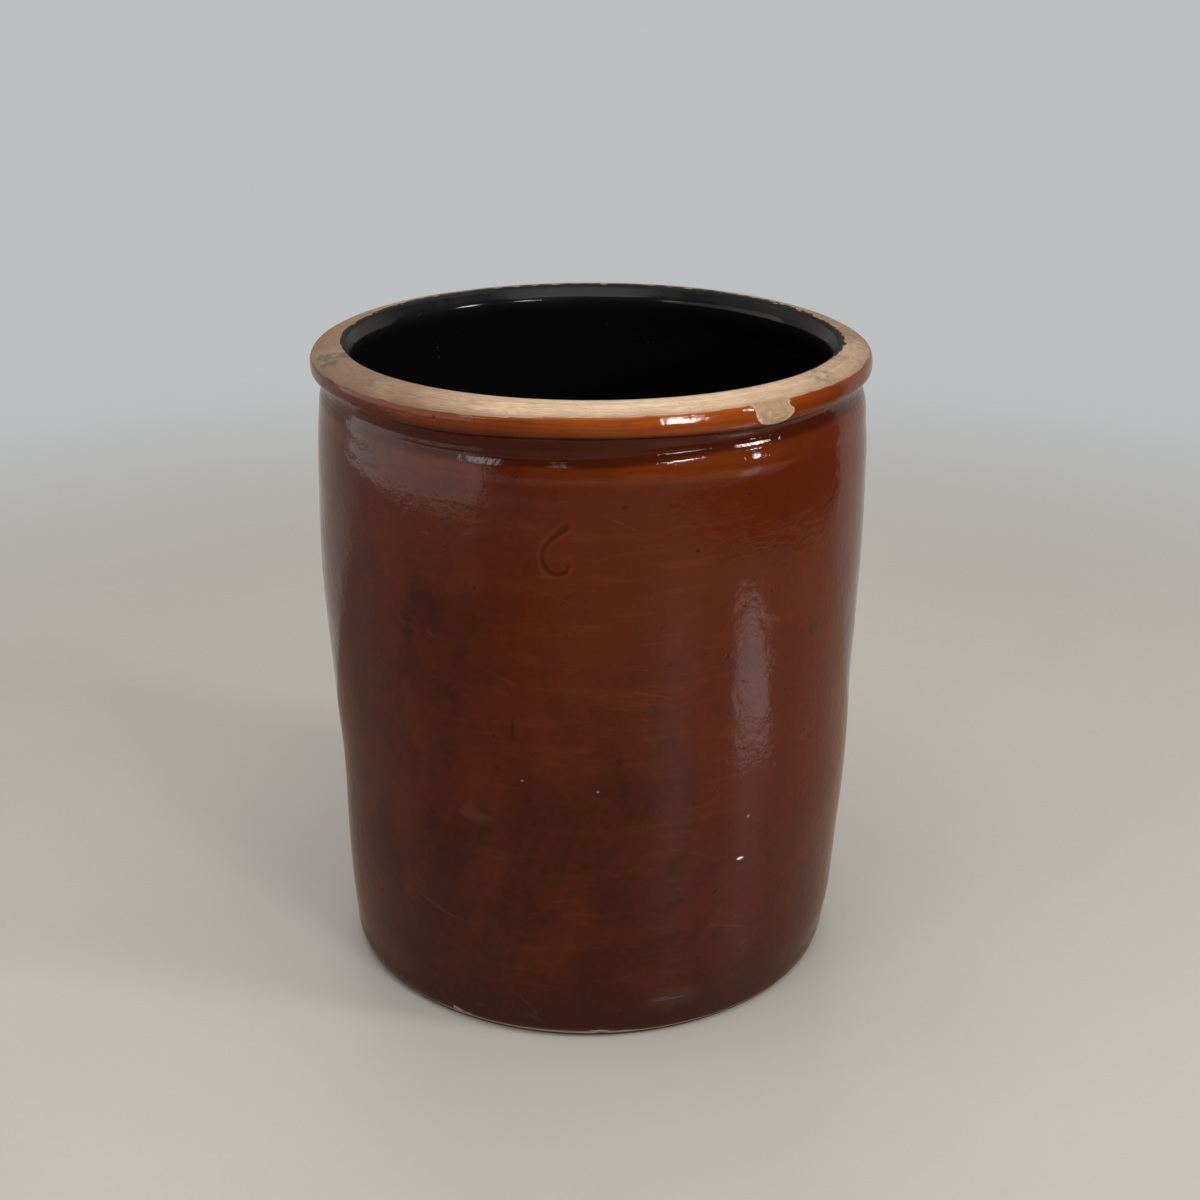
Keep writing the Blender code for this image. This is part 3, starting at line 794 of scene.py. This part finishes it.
class Sketch:
    """Adds nodes to one tree. Each call sets or joins the new node's sockets and gives back an output."""

    def __init__(self, tree):
        self.tree = tree

    def add(self, kind, sockets=None, output=0, **settings):
        """One node. Sockets are named or numbered; a value is set, and another node's output is joined."""
        made = self.tree.nodes.new(kind)
        made.location = (180 * (len(self.tree.nodes) % 12), -220 * (len(self.tree.nodes) // 12))
        for key, value in settings.items():
            setattr(made, key, value)
        for socket, value in (sockets or {}).items():
            if isinstance(value, bpy.types.NodeSocket):
                self.tree.links.new(value, made.inputs[socket])
            else:
                made.inputs[socket].default_value = value
        return made if output is None else made.outputs[output]

    def math(self, operation, *terms, clamp=False):
        """Arithmetic carried from term to term. Clamp holds the last result between 0 and 1."""
        total = terms[0]
        for count, term in enumerate(terms[1:], 2):
            last = count == len(terms)
            total = self.add(
                "ShaderNodeMath", {0: total, 1: term}, operation=operation, use_clamp=clamp and last
            )
        return total

    def times(self, *terms, clamp=False):
        """A product."""
        return self.math("MULTIPLY", *terms, clamp=clamp)

    def plus(self, *terms, clamp=False):
        """A sum, in which a pair is a value times its weight."""
        parts = [self.times(*term) if isinstance(term, tuple) else term for term in terms]
        return self.math("ADD", *parts, clamp=clamp)

    def less(self, value):
        """1 less the value."""
        return self.math("SUBTRACT", 1.0, value)

    def most(self, *terms):
        """The largest."""
        return self.math("MAXIMUM", *terms)

    def vector(self, operation, first, second=(0, 0, 0), output=0):
        """One step of vector arithmetic."""
        return self.add("ShaderNodeVectorMath", {0: first, 1: second}, output, operation=operation)

    def size(self, vector):
        """A vector's length."""
        return self.vector("LENGTH", vector, output="Value")

    def dot(self, first, second):
        """The dot product of two vectors."""
        return self.vector("DOT_PRODUCT", first, second, "Value")

    def split(self, vector):
        """A vector's X, Y and Z."""
        return self.add("ShaderNodeSeparateXYZ", {0: vector}, None).outputs

    def mix(self, factor, first, second):
        """A colour between two, by the factor."""
        return self.add("ShaderNodeMix", {0: factor, 6: rgba(first), 7: rgba(second)}, 2, data_type="RGBA")

    def layers(self, base, *rows):
        """The base with colours laid over it in turn. A row is a mask, how much it covers, and a colour."""
        for mask, strength, laid in rows:
            base = self.mix(mask if strength == 1 else self.times(mask, strength), base, laid)
        return base

    def band(self, value, low, high, to_low=0.0, to_high=1.0):
        """A value carried smoothly from one range to another and held at its ends."""
        sockets = {"Value": value, "From Min": low, "From Max": high, "To Min": to_low, "To Max": to_high}
        return self.add("ShaderNodeMapRange", sockets, interpolation_type="SMOOTHSTEP")

    def noise(self, vector, scale, detail=3.0, roughness=0.55, distortion=0.0):
        """Cloudy noise from 0 to 1."""
        sockets = {"Vector": vector, "Scale": scale, "Detail": detail, "Roughness": roughness}
        return self.add("ShaderNodeTexNoise", {**sockets, "Distortion": distortion})

    def attribute(self, label):
        """A mask that the mesh carries."""
        return self.add("ShaderNodeAttribute", output="Fac", attribute_name=label)

    def place(self):
        """The place on the piece, in metres."""
        return self.add("ShaderNodeTexCoord", output="Object")

    def unrolled(self, place):
        """The place with the pot's wall laid flat: distance round the pot from the front, and height."""
        x, y, z = self.split(place)
        angle = self.math("ARCTAN2", x, self.times(y, -1.0))
        return self.add("ShaderNodeCombineXYZ", {0: self.times(angle, MARKS_ROUND), 1: z})

    def marked(self, vector, marks, waver=0.6, operation="MAXIMUM"):
        """The strongest of a table's marks at each place, or their sum."""
        ones = []
        for across, up, half_width, half_height, strength in marks:
            one = round_mark(
                self, vector=vector, centre=(across * MM, up * MM, 0.0),
                half_size=(half_width * MM, half_height * MM, 1.0), waver=waver,
            )
            ones.append(self.times(one, strength))
        return self.math(operation, *ones)


def effect(**defaults):
    """Turns a function that draws nodes into a shader node group with an input for each default.

    The group is made once, under the function's own name. What is decorated is then called with a sketch
    and values for its inputs, places the group there and gives back its output.
    """

    def decorate(draw):
        name = draw.__name__.replace("_", " ").title()
        titles = {label: label.replace("_", " ").title() for label in defaults}

        @functools.wraps(draw)
        def place_group(sketch, **values):
            if name not in bpy.data.node_groups:
                tree = bpy.data.node_groups.new(name, "ShaderNodeTree")
                for label, default in defaults.items():
                    kind = "NodeSocketFloat" if isinstance(default, float) else "NodeSocketVector"
                    socket = tree.interface.new_socket(titles[label], in_out="INPUT", socket_type=kind)
                    socket.default_value = default
                tree.interface.new_socket("Mask", in_out="OUTPUT", socket_type="NodeSocketFloat")
                inner = Sketch(tree)
                given = inner.add("NodeGroupInput", output=None).outputs
                mask = draw(inner, **{label: given[title] for label, title in titles.items()})
                inner.add("NodeGroupOutput", {"Mask": mask}, None)
            sockets = {titles[label]: value for label, value in values.items()}
            return sketch.add("ShaderNodeGroup", sockets, node_tree=bpy.data.node_groups[name])

        return place_group

    return decorate


@effect(vector=(0, 0, 0), lines_per_metre=900.0, drift=9.0, sharpness=0.6)
def turning_lines(sketch, vector, lines_per_metre, drift, sharpness):
    """Fine lines left by the wheel: noise that changes fast outwards and upwards, slowly round the pot."""
    flat = sketch.vector("MULTIPLY", vector, (1, 1, 0))
    across = sketch.times(sketch.plus(sketch.size(flat), sketch.split(vector)[2]), lines_per_metre)
    slow = sketch.add("ShaderNodeVectorMath", {0: flat, "Scale": drift}, operation="SCALE")
    lift = sketch.add("ShaderNodeCombineXYZ", {"Z": across})
    lines = sketch.noise(sketch.vector("ADD", slow, lift), 1.0, 4.0, 0.6)
    low = sketch.times(sharpness, 0.35)
    return sketch.band(lines, low, sketch.less(low))


@effect(vector=(0, 0, 0), patches_per_metre=30.0, fineness=6.0, contrast=0.5)
def mottling(sketch, vector, patches_per_metre, fineness, contrast):
    """Cloudy patches: broad clouds broken by finer ones, from 0 to 1."""
    broad = sketch.noise(vector, patches_per_metre, 3.0, 0.5, 0.6)
    fine = sketch.noise(vector, sketch.times(patches_per_metre, fineness), 4.0, 0.6)
    low = sketch.times(contrast, 0.5)
    return sketch.band(sketch.plus((broad, 0.68), (fine, 0.32)), low, sketch.less(low))


@effect(vector=(0, 0, 0), cells_per_metre=120.0, size=0.15, share=0.2)
def specks(sketch, vector, cells_per_metre, size, share):
    """Small round marks: the middle of a share of the cells of a cell pattern."""
    wobble = sketch.noise(vector, sketch.times(cells_per_metre, 3.0), 2.0)
    cells = sketch.add("ShaderNodeTexVoronoi", {"Vector": vector, "Scale": cells_per_metre}, None).outputs
    away = sketch.plus(cells["Distance"], (wobble, 0.12))
    pick = sketch.add("ShaderNodeSeparateColor", {0: cells["Color"]}, None).outputs
    chosen = sketch.math("LESS_THAN", pick["Red"], share)
    own_size = sketch.times(size, sketch.plus(pick["Green"], 0.4))
    least = 0.06
    mark = sketch.band(away, sketch.plus(own_size, least), sketch.plus((own_size, 0.55), least))
    return sketch.times(mark, chosen)


@effect(vector=(0, 0, 0), turn=(0.0, 0.6, 0.0), lines_per_metre=500.0, share=0.1)
def scratches(sketch, vector, turn, lines_per_metre, share):
    """Fine straight scratches: noise drawn out along one direction and cut to its thin crests."""
    sockets = {"Vector": vector, "Rotation": turn}
    turned = sketch.add("ShaderNodeVectorRotate", sockets, rotation_type="EULER_XYZ")
    lines = sketch.noise(sketch.vector("MULTIPLY", turned, (0.03, 0.2, 1.0)), lines_per_metre, 1.0, 0.4)
    crest = sketch.math("ABSOLUTE", sketch.math("SUBTRACT", lines, 0.5), 0.0)
    low = sketch.math("SUBTRACT", 0.75, share)
    patches = sketch.band(sketch.noise(vector, 38.0, 2.0), low, sketch.plus(low, 0.08))
    return sketch.times(sketch.band(crest, 0.012, 0.0), patches)


@effect(vector=(0, 0, 0), start=(0.0, 0.0, 0.0), end=(0.01, 0.0, 0.0), width=0.0003)
def scored_line(sketch, vector, start, end, width):
    """One straight scratch: 1 on the line between two places, fading out at its width."""
    here = sketch.vector("SUBTRACT", vector, start)
    whole = sketch.vector("SUBTRACT", end, start)
    share_along = sketch.math("DIVIDE", sketch.dot(here, whole), sketch.dot(whole, whole), clamp=True)
    nearest = sketch.add("ShaderNodeVectorMath", {0: whole, "Scale": share_along}, operation="SCALE")
    away = sketch.size(sketch.vector("SUBTRACT", here, nearest))
    return sketch.band(away, width, sketch.times(width, 0.2))


@effect(vector=(0, 0, 0), centre=(0.0, 0.0, 0.0), half_size=(0.001, 0.001, 1.0), waver=0.3)
def round_mark(sketch, vector, centre, half_size, waver):
    """One soft oval mark with a wavering edge: 1 in its middle, 0 past its half width and half height."""
    here = sketch.vector("DIVIDE", sketch.vector("SUBTRACT", vector, centre), half_size)
    wavered = sketch.times(sketch.math("SUBTRACT", sketch.noise(here, 1.4, 2.0), 0.5), waver)
    return sketch.band(sketch.plus(sketch.size(here), wavered), 1.0, 0.25)


def finish(name, colour_now, specular):
    """A material with its sketch and its Principled BSDF, and a plain colour for the solid view."""
    made = bpy.data.materials.new(name)
    made.use_nodes = True
    made.diffuse_color = rgba(colour_now)
    shader = made.node_tree.nodes["Principled BSDF"]
    shader.inputs["Specular IOR Level"].default_value = specular
    return made, Sketch(made.node_tree), shader


def join(sketch, shader, base, rough, relief, strength, depth):
    """Joins a colour, a roughness and a bump of the given strength and depth to the shader."""
    bumped = sketch.add("ShaderNodeBump", {"Strength": strength, "Distance": depth, "Height": relief})
    for label, output in (("Base Color", base), ("Roughness", rough), ("Normal", bumped)):
        sketch.tree.links.new(output, shader.inputs[label])


def bare_stoneware(finishes):
    """Fired clay without glaze: pale and rubbed on the rim, with turning lines, grit, grime and stains, and
    painted shade on its sides and where it meets the table.
    """
    made, sketch, shader = finish("Bare Stoneware", finishes.clay, 0.35)
    place = sketch.place()
    across, back, height = sketch.split(place)
    lines = turning_lines(sketch, vector=place, lines_per_metre=1300.0, drift=20.0, sharpness=1.15)
    coarse = turning_lines(sketch, vector=place, lines_per_metre=480.0, drift=12.0, sharpness=1.2)
    downward = sketch.vector("MULTIPLY", place, (1, 1, -1))
    dashes = turning_lines(sketch, vector=downward, lines_per_metre=1900.0, drift=200.0, sharpness=1.05)
    dark_dashes = sketch.less(dashes)
    patches = mottling(sketch, vector=place, patches_per_metre=26.0, fineness=9.0, contrast=0.55)
    grit = specks(sketch, vector=place, cells_per_metre=620.0, size=0.22, share=0.16)
    cloud = sketch.noise(place, 260.0, 4.0, 0.65)
    chatter = sketch.noise(place, 480.0, 3.0, 0.6, 1.6)
    # the clay is palest at the front, and painted shade makes it duller towards the left, the right and the
    # back
    left = sketch.band(across, -0.020, -0.080, 0.0, 1.0)
    right = sketch.band(across, 0.040, 0.095, 0.0, 0.60)
    behind = sketch.band(back, -0.060, 0.010, 0.0, 0.92)
    painted_side_shade = sketch.times(sketch.most(left, right, behind), sketch.band(patches, 0.0, 1.0, 1.15, 0.85))
    grime = sketch.marked(sketch.unrolled(place), GRIME, 0.9)
    notch_shade = sketch.marked(sketch.unrolled(place), NOTCH_SHADES, 0.4)
    # painted shade: the foot darkened where it meets the table, and in the gap of the notch in the foot
    shade = sketch.most(sketch.band(height, *TABLE_SHADE, 0.0, 0.96), sketch.times(notch_shade, 0.95))
    base = sketch.layers(
        sketch.mix(patches, finishes.clay, finishes.clay_pale),
        (lines, 0.45, finishes.clay_pale),
        (sketch.less(coarse), 0.24, finishes.clay_stain_and_shade),
        (dark_dashes, 0.30, finishes.clay_stain_and_shade),
        (sketch.attribute("beside_brown"), 0.55, finishes.clay_stain_and_shade),
        (sketch.attribute("beside_black"), 0.35, finishes.clay_dirt),
        (grit, 0.5, finishes.clay_stain_and_shade),
        (painted_side_shade, 1, finishes.clay_stain_and_shade),
        (grime, sketch.band(cloud, 0.40, 0.58), finishes.clay_dirt),
        (sketch.band(height, 0.0060, 0.0025), 0.35, finishes.clay_dirt),
        (dark_dashes, sketch.band(across, 0.0, -0.06, 0.03, 0.26), BURNT_DASH),
        (shade, 1, SHADE),
        (sketch.attribute("chip"), 0.9, sketch.mix(cloud, FRESH_CLAY, FRESH_CLAY_PALE)),
    )
    dragged = sketch.band(across, -0.03, 0.05, 1.0, 5.0)
    relief = sketch.plus(
        (lines, 0.5), (coarse, 0.6), (cloud, 0.5), (dashes, 0.7), (chatter, dragged), (grit, -0.5)
    )
    rough = sketch.band(patches, 0.0, 1.0, finishes.clay_roughness + 0.08, finishes.clay_roughness - 0.14)
    join(sketch, shader, base, rough, relief, 0.7, 0.00022)
    return made


def brown_glaze(finishes):
    """Brown glaze: orange where it is thin, dark at the foot, mottled, streaked, pitted and scratched, with
    painted light on the collar, painted shade on the left and under the collar, and painted glints.
    """
    made, sketch, shader = finish("Brown Glaze", finishes.brown, 0.27)
    place = sketch.place()
    flat = sketch.unrolled(place)
    across, _, height = sketch.split(place)
    patches = mottling(sketch, vector=place, patches_per_metre=16.0, fineness=6.0, contrast=0.72)
    blotches = mottling(sketch, vector=place, patches_per_metre=52.0, fineness=5.0, contrast=0.78)
    sockets = {"Vector": flat, "Angle": math.radians(24)}
    leaning = sketch.add("ShaderNodeVectorRotate", sockets, rotation_type="Z_AXIS")
    drawn = sketch.vector("MULTIPLY", leaning, (1.0, 0.16, 1.0))
    runs = mottling(sketch, vector=drawn, patches_per_metre=110.0, fineness=4.0, contrast=0.7)
    brushed = sketch.vector("MULTIPLY", flat, (0.12, 1.0, 1.0))
    brush = mottling(sketch, vector=brushed, patches_per_metre=170.0, fineness=3.0, contrast=0.7)
    fine = mottling(sketch, vector=place, patches_per_metre=230.0, fineness=4.0, contrast=0.7)
    lines = turning_lines(sketch, vector=place, lines_per_metre=620.0, drift=10.0, sharpness=1.0)
    dots = specks(sketch, vector=place, cells_per_metre=115.0, size=0.12, share=0.28)
    small_dots = specks(sketch, vector=place, cells_per_metre=380.0, size=0.17, share=0.10)

    # darker by height from the foot, and darker on the left than on the right, partly from thicker glaze and
    # partly as painted shade
    calm = sketch.band(across, 0.010, 0.075, 1.0, 0.45)
    patchy = sketch.plus(
        sketch.band(patches, 0.0, 1.0, -0.24, 0.24), sketch.band(blotches, 0.35, 1.0, -0.07, 0.22)
    )
    low_left = sketch.times(sketch.band(height, 0.15, 0.06), sketch.band(across, 0.03, -0.04, 0.35, 1.0))
    thickness = sketch.plus(
        sketch.band(height, 0.222, 0.030, 0.02, 0.66),
        sketch.band(across, 0.09, -0.10, -0.03, 0.14),
        (patchy, calm),
        sketch.band(brush, 0.0, 1.0, -0.07, 0.07),
        (sketch.band(runs, 0.0, 1.0, -0.20, 0.16), low_left),
        sketch.marked(flat, TONES, 0.8, "ADD"),
        sketch.band(fine, 0.0, 1.0, -0.05, 0.13),
        clamp=True,
    )

    # orange on the collar, on the shoulder's band and along every edge, less so on the left and the right;
    # on the collar it rises towards the top, as thin glaze over the roll and as painted light on its upper
    # face
    collar = sketch.band(height, *COLLAR_TOP, 0.0, 0.80)
    raised = sketch.plus(height, sketch.band(across, 0.050, 0.000, 0.0006, 0.0036))
    shoulder = sketch.times(sketch.band(height, *SHOULDER_BAND), sketch.band(raised, *reversed(NECK_FOOT)))
    thin = sketch.plus(
        (sketch.attribute("thin"), 0.5), sketch.plus(collar, (shoulder, 0.16)),
        (sketch.attribute("burr"), 0.16), sketch.band(brush, 0.55, 1.0, 0.0, 0.07),
    )
    thin = sketch.times(thin, sketch.band(patches, 0.0, 1.0, 1.2, 0.65), clamp=True)
    thin = sketch.times(thin, sketch.band(lines, 0.0, 1.0, 0.80, 1.12), clamp=True)
    left, right = sketch.band(across, -0.10, 0.03, 0.28, 1.0), sketch.band(across, 0.045, 0.090, 1.0, 0.26)
    # the groove under the collar takes the thick colour: glaze pooled there, and painted shade under the
    # collar
    neck = sketch.times(
        sketch.band(raised, *NECK_FOOT), sketch.band(height, *NECK_TOP),
        sketch.band(across, -0.088, -0.050, 0.15, 0.75),
    )

    # pits and specks, pooled glaze in the number, a few marks of wear, and painted glints
    groove = sketch.attribute("groove")
    pits = sketch.marked(flat, PITS, 0.9)
    rubbed = sketch.times(sketch.marked(flat, RUBBED_PLACES, 1.0), sketch.band(brush, 0.2, 0.9, 0.3, 1.0))
    glint = sketch.marked(flat, PAINTED_GLINTS, 0.3)
    scuffs = scratches(sketch, vector=flat, turn=(0.0, 0.0, 0.35), lines_per_metre=420.0, share=0.20)
    scored = sketch.times(scuffs, 0.5)
    base = sketch.layers(
        finishes.brown,
        (thickness, 1, finishes.brown_thick_and_shade),
        (sketch.times(thin, left, right), 1, finishes.brown_thin_and_lit),
        (neck, 1, finishes.brown_thick_and_shade),
        (sketch.band(height, *DARK_FOOT), 0.72, finishes.brown_foot),
        (sketch.plus((dots, 0.55), (small_dots, 0.40), clamp=True), 1, IRON_SPECK),
        (groove, 0.80, POOLED_GLAZE),
        (pits, 0.75, PIT),
        (sketch.marked(flat, SMUDGES), 1, SMUDGE),
        (rubbed, 0.14, RUBBED),
        (glint, 1, PAINTED_GLINT),
        (scored, 0.12, SCUFF),
    )
    for first, last, depth in SCRATCHES:
        start, end = ((round_by * MM, up * MM, 0.0) for round_by, up in (first, last))
        one = scored_line(sketch, vector=flat, start=start, end=end, width=SCRATCH_WIDTH)
        one = sketch.times(one, depth)
        base = sketch.layers(base, (one, 0.55, SCRATCH))
        scored = sketch.most(scored, one)

    rough = sketch.band(fine, 0.0, 1.0, finishes.brown_roughness - 0.02, finishes.brown_roughness + 0.03)
    rough = sketch.plus(rough, sketch.band(blotches, 0.3, 1.0, -0.01, 0.05))
    rough = sketch.times(rough, sketch.band(height, *COLLAR_FACE, 1.0, 0.55))
    rough = sketch.plus(rough, (scored, 0.18), (groove, 0.06), (rubbed, 0.35), (glint, 0.5), clamp=True)
    relief = sketch.plus(
        (fine, 0.35), (lines, 0.22), (blotches, 1.8), (sketch.most(dots, pits), -1.2),
        (small_dots, -0.6), (scored, -0.4),
    )
    join(sketch, shader, base, rough, relief, 0.40, 0.00010)
    return made


def black_glaze(finishes):
    """Near-black glaze inside: deep gloss, rubbed along the lip, with fine rings and a few pits."""
    made, sketch, shader = finish("Black Glaze", finishes.black, 0.20)
    place = sketch.place()
    height = sketch.split(place)[2]
    patches = mottling(sketch, vector=place, patches_per_metre=30.0, fineness=8.0, contrast=0.5)
    lines = turning_lines(sketch, vector=place, lines_per_metre=700.0, drift=12.0, sharpness=0.7)
    dots = specks(sketch, vector=place, cells_per_metre=170.0, size=0.13, share=0.14)
    scuffs = scratches(sketch, vector=place, turn=(0.2, 0.3, 0.9), lines_per_metre=450.0, share=0.16)
    lip = sketch.times(sketch.band(height, 0.2375, 0.2455), sketch.band(patches, 0.0, 1.0, 0.25, 0.75))
    wear = sketch.plus(lip, (sketch.attribute("thin"), 0.4), clamp=True)
    base = sketch.layers(finishes.black, (wear, 1, finishes.black_worn), (dots, 0.35, GREY_SPECK))
    rough = sketch.plus(
        sketch.band(patches, 0.0, 1.0, finishes.black_roughness, finishes.black_roughness + 0.04),
        (wear, 0.06),
        sketch.band(height, 0.2430, 0.2442, 0.0, 0.16),
        (scuffs, 0.2),
        sketch.band(height, 0.2462, 0.2472, 0.0, 0.62),
        clamp=True,
    )
    relief = sketch.plus((lines, 0.4), (patches, 0.3), (dots, -1.0))
    join(sketch, shader, base, rough, relief, 0.4, 0.00012)
    return made


# Stage


def softbox(name, azimuth, elevation, distance, size, power, tint):
    """A rectangular lamp that faces the crock's middle. Azimuth is from the front to +X, in degrees."""
    lamp = bpy.data.lights.new(name, "AREA")
    lamp.shape = "RECTANGLE"
    lamp.size, lamp.size_y = size
    lamp.energy = power
    lamp.color = tint
    around, up = math.radians(azimuth), math.radians(elevation)
    back = Vector((math.sin(around) * math.cos(up), -math.cos(around) * math.cos(up), math.sin(up)))
    box = bpy.data.objects.new(name, lamp)
    box.location = Vector((0, 0, CAD_HEIGHT / 2)) + back * distance
    box.rotation_mode = "QUATERNION"
    box.rotation_quaternion = back.to_track_quat("Z", "Y")
    box.visible_camera = False
    bpy.context.scene.collection.objects.link(box)
    return box


def pale_floor(stage):
    """A pale satin floor. Far from the crock the camera and the gloss see it in the backdrop's colour.

    The gloss also sees the backdrop from close behind the crock, and the unlit room past the floor's right
    end.
    """
    made, sketch, shader = finish("Pale Floor", stage.floor, 0.35)
    shader.inputs["Roughness"].default_value = 0.42
    place = sketch.place()
    across, back, _ = sketch.split(place)
    away = sketch.size(place)
    grain = mottling(sketch, vector=place, patches_per_metre=9.0, fineness=30.0, contrast=0.3)
    path = sketch.add("ShaderNodeLightPath", output=None).outputs
    glossy = path["Is Glossy Ray"]
    darker = tuple(0.95 * part for part in stage.floor)
    shaded = tuple(0.62 * part for part in stage.floor_mirrored)
    near = sketch.mix(sketch.band(across, -0.04, -0.22), stage.floor_mirrored, shaded)
    base = sketch.mix(glossy, sketch.mix(grain, darker, stage.floor), near)
    sketch.tree.links.new(base, shader.inputs["Base Color"])
    wall = sketch.band(sketch.dot(place, FLOOR_WAY), -0.097, -0.077)
    wall = sketch.times(wall, sketch.band(back, 0.195, 0.215))
    past = sketch.band(across, 0.64, 0.70)
    mirrored = sketch.times(sketch.most(wall, past, sketch.band(away, 0.45, 1.5)), glossy)
    seen = sketch.most(path["Is Camera Ray"], path["Is Transmission Ray"])
    seen = sketch.times(seen, sketch.band(away, 0.38, 0.98))
    unlit = sketch.times(sketch.math("SUBTRACT", past, wall, clamp=True), glossy)
    beyond = sketch.mix(glossy, stage.backdrop, stage.backdrop_mirrored)
    glow = sketch.add("ShaderNodeEmission", {"Color": sketch.mix(unlit, beyond, stage.room)})
    sockets = {0: sketch.most(seen, mirrored), 1: shader.outputs[0], 2: glow}
    shown = sketch.add("ShaderNodeMixShader", sockets)
    sketch.tree.links.new(shown, sketch.tree.nodes["Material Output"].inputs["Surface"])
    return made


def even_light(stage):
    """A world of even light. The camera sees the backdrop, and the gloss a wall behind and a dim room."""
    world = bpy.data.worlds.new("even_light")
    world.use_nodes = True
    world.node_tree.nodes.clear()
    sketch = Sketch(world.node_tree)
    lighting = {"Color": (1, 1, 1, 1), "Strength": stage.world_strength}
    lighting = sketch.add("ShaderNodeBackground", lighting)
    seen = sketch.add("ShaderNodeBackground", {"Color": rgba(stage.backdrop)})
    wall = sketch.band(sketch.dot(sketch.add("ShaderNodeTexCoord"), BACKDROP_WAY), 0.11, 0.18)
    around = sketch.mix(wall, stage.room, stage.backdrop_mirrored)
    mirrored = sketch.add("ShaderNodeBackground", {"Color": around})
    path = sketch.add("ShaderNodeLightPath", output=None).outputs
    glossy = sketch.most(path["Is Glossy Ray"], path["Is Transmission Ray"])
    shown = sketch.add("ShaderNodeMixShader", {0: glossy, 1: lighting, 2: mirrored})
    shown = sketch.add("ShaderNodeMixShader", {0: path["Is Camera Ray"], 1: shown, 2: seen})
    sketch.add("ShaderNodeOutputWorld", {"Surface": shown}, None)
    return world


def make_stage(context):
    """A pale floor, soft lamps, an even world and the camera that took the photograph's view."""
    scene = context.scene
    stage = scene.crock_stage
    mesh = bpy.data.meshes.new("floor")
    corners = [(x * FLOOR_REACH, y * FLOOR_REACH, 0) for x, y in ((-1, -1), (1, -1), (1, 1), (-1, 1))]
    mesh.from_pydata(corners, [], [(0, 1, 2, 3)])
    mesh.materials.append(pale_floor(stage))
    floor = bpy.data.objects.new("floor", mesh)
    scene.collection.objects.link(floor)

    boxes = {row[0]: softbox(*row) for row in LAMPS}
    # a strip that lies on the floor and shines down, turned towards the window
    strip = boxes["light_on_the_floor"]
    strip.location.z = 2 * MM
    strip.rotation_quaternion = Quaternion((0, 0, 1), math.radians(62)) @ Quaternion((1, 0, 0), math.pi)

    scene.world = even_light(stage)
    scene.view_settings.view_transform = "Standard"

    lens = bpy.data.cameras.new("camera")
    lens.lens = stage.lens
    lens.sensor_width = 36.0
    lens.clip_start = 0.01
    camera = bpy.data.objects.new("camera", lens)
    camera.location = stage.camera_place
    camera.rotation_euler = (stage.camera_tilt, 0.0, 0.0)
    scene.collection.objects.link(camera)
    scene.camera = camera


# Operators and panel


class CROCK_OT_clay(bpy.types.Operator):
    """Throw the clay: foot, wall, groove, rolled rim and lip as one piece"""

    bl_idname = "crock.clay"
    bl_label = "Throw the Clay"
    bl_options = {"REGISTER", "UNDO"}

    def execute(self, context):
        make_clay(context)
        return {"FINISHED"}


class CROCK_OT_brown_glaze(bpy.types.Operator):
    """Coat the outside with brown glaze, with the number incised and the collar chipped"""

    bl_idname = "crock.brown_glaze"
    bl_label = "Glaze the Outside Brown"
    bl_options = {"REGISTER", "UNDO"}

    def execute(self, context):
        make_brown_coat(context)
        return {"FINISHED"}


class CROCK_OT_black_glaze(bpy.types.Operator):
    """Line the inside with black glaze up to the rim"""

    bl_idname = "crock.black_glaze"
    bl_label = "Glaze the Inside Black"
    bl_options = {"REGISTER", "UNDO"}

    def execute(self, context):
        make_black_lining(context)
        return {"FINISHED"}


class CROCK_OT_stage(bpy.types.Operator):
    """Set the floor, the lamps, the even light and the camera"""

    bl_idname = "crock.stage"
    bl_label = "Set the Stage"
    bl_options = {"REGISTER", "UNDO"}

    def execute(self, context):
        make_stage(context)
        return {"FINISHED"}


class CROCK_PT_panel(bpy.types.Panel):
    """The crock's pieces and its stage"""

    bl_idname = "CROCK_PT_panel"
    bl_label = "Preserving Crock"
    bl_space_type = "VIEW_3D"
    bl_region_type = "UI"
    bl_category = "Crock"

    def draw(self, context):
        for operator in OPERATORS:
            self.layout.operator(operator.bl_idname)
        for label, values in GROUPS.items():
            box = self.layout.box()
            box.label(text=label.replace("_", " ").capitalize())
            for prop in values.__annotations__:
                box.prop(getattr(context.scene, label), prop)


OPERATORS = (CROCK_OT_clay, CROCK_OT_brown_glaze, CROCK_OT_black_glaze, CROCK_OT_stage)
GROUPS = {
    "crock_sizes": CrockSizes, "crock_surface": CrockSurface,
    "crock_finishes": CrockFinishes, "crock_stage": CrockStage,
}
CLASSES = (*GROUPS.values(), *OPERATORS, CROCK_PT_panel)


def register():
    """Makes the classes known and gives each scene its values."""
    for made in CLASSES:
        bpy.utils.register_class(made)
    for label, values in GROUPS.items():
        setattr(bpy.types.Scene, label, PointerProperty(type=values))


def unregister():
    """Takes the values and the classes away again."""
    for label in GROUPS:
        delattr(bpy.types.Scene, label)
    for made in reversed(CLASSES):
        bpy.utils.unregister_class(made)


def main():
    """Builds the crock and its stage."""
    register()
    bpy.ops.crock.clay()
    bpy.ops.crock.brown_glaze()
    bpy.ops.crock.black_glaze()
    bpy.ops.crock.stage()


if __name__ == "__main__":
    main()
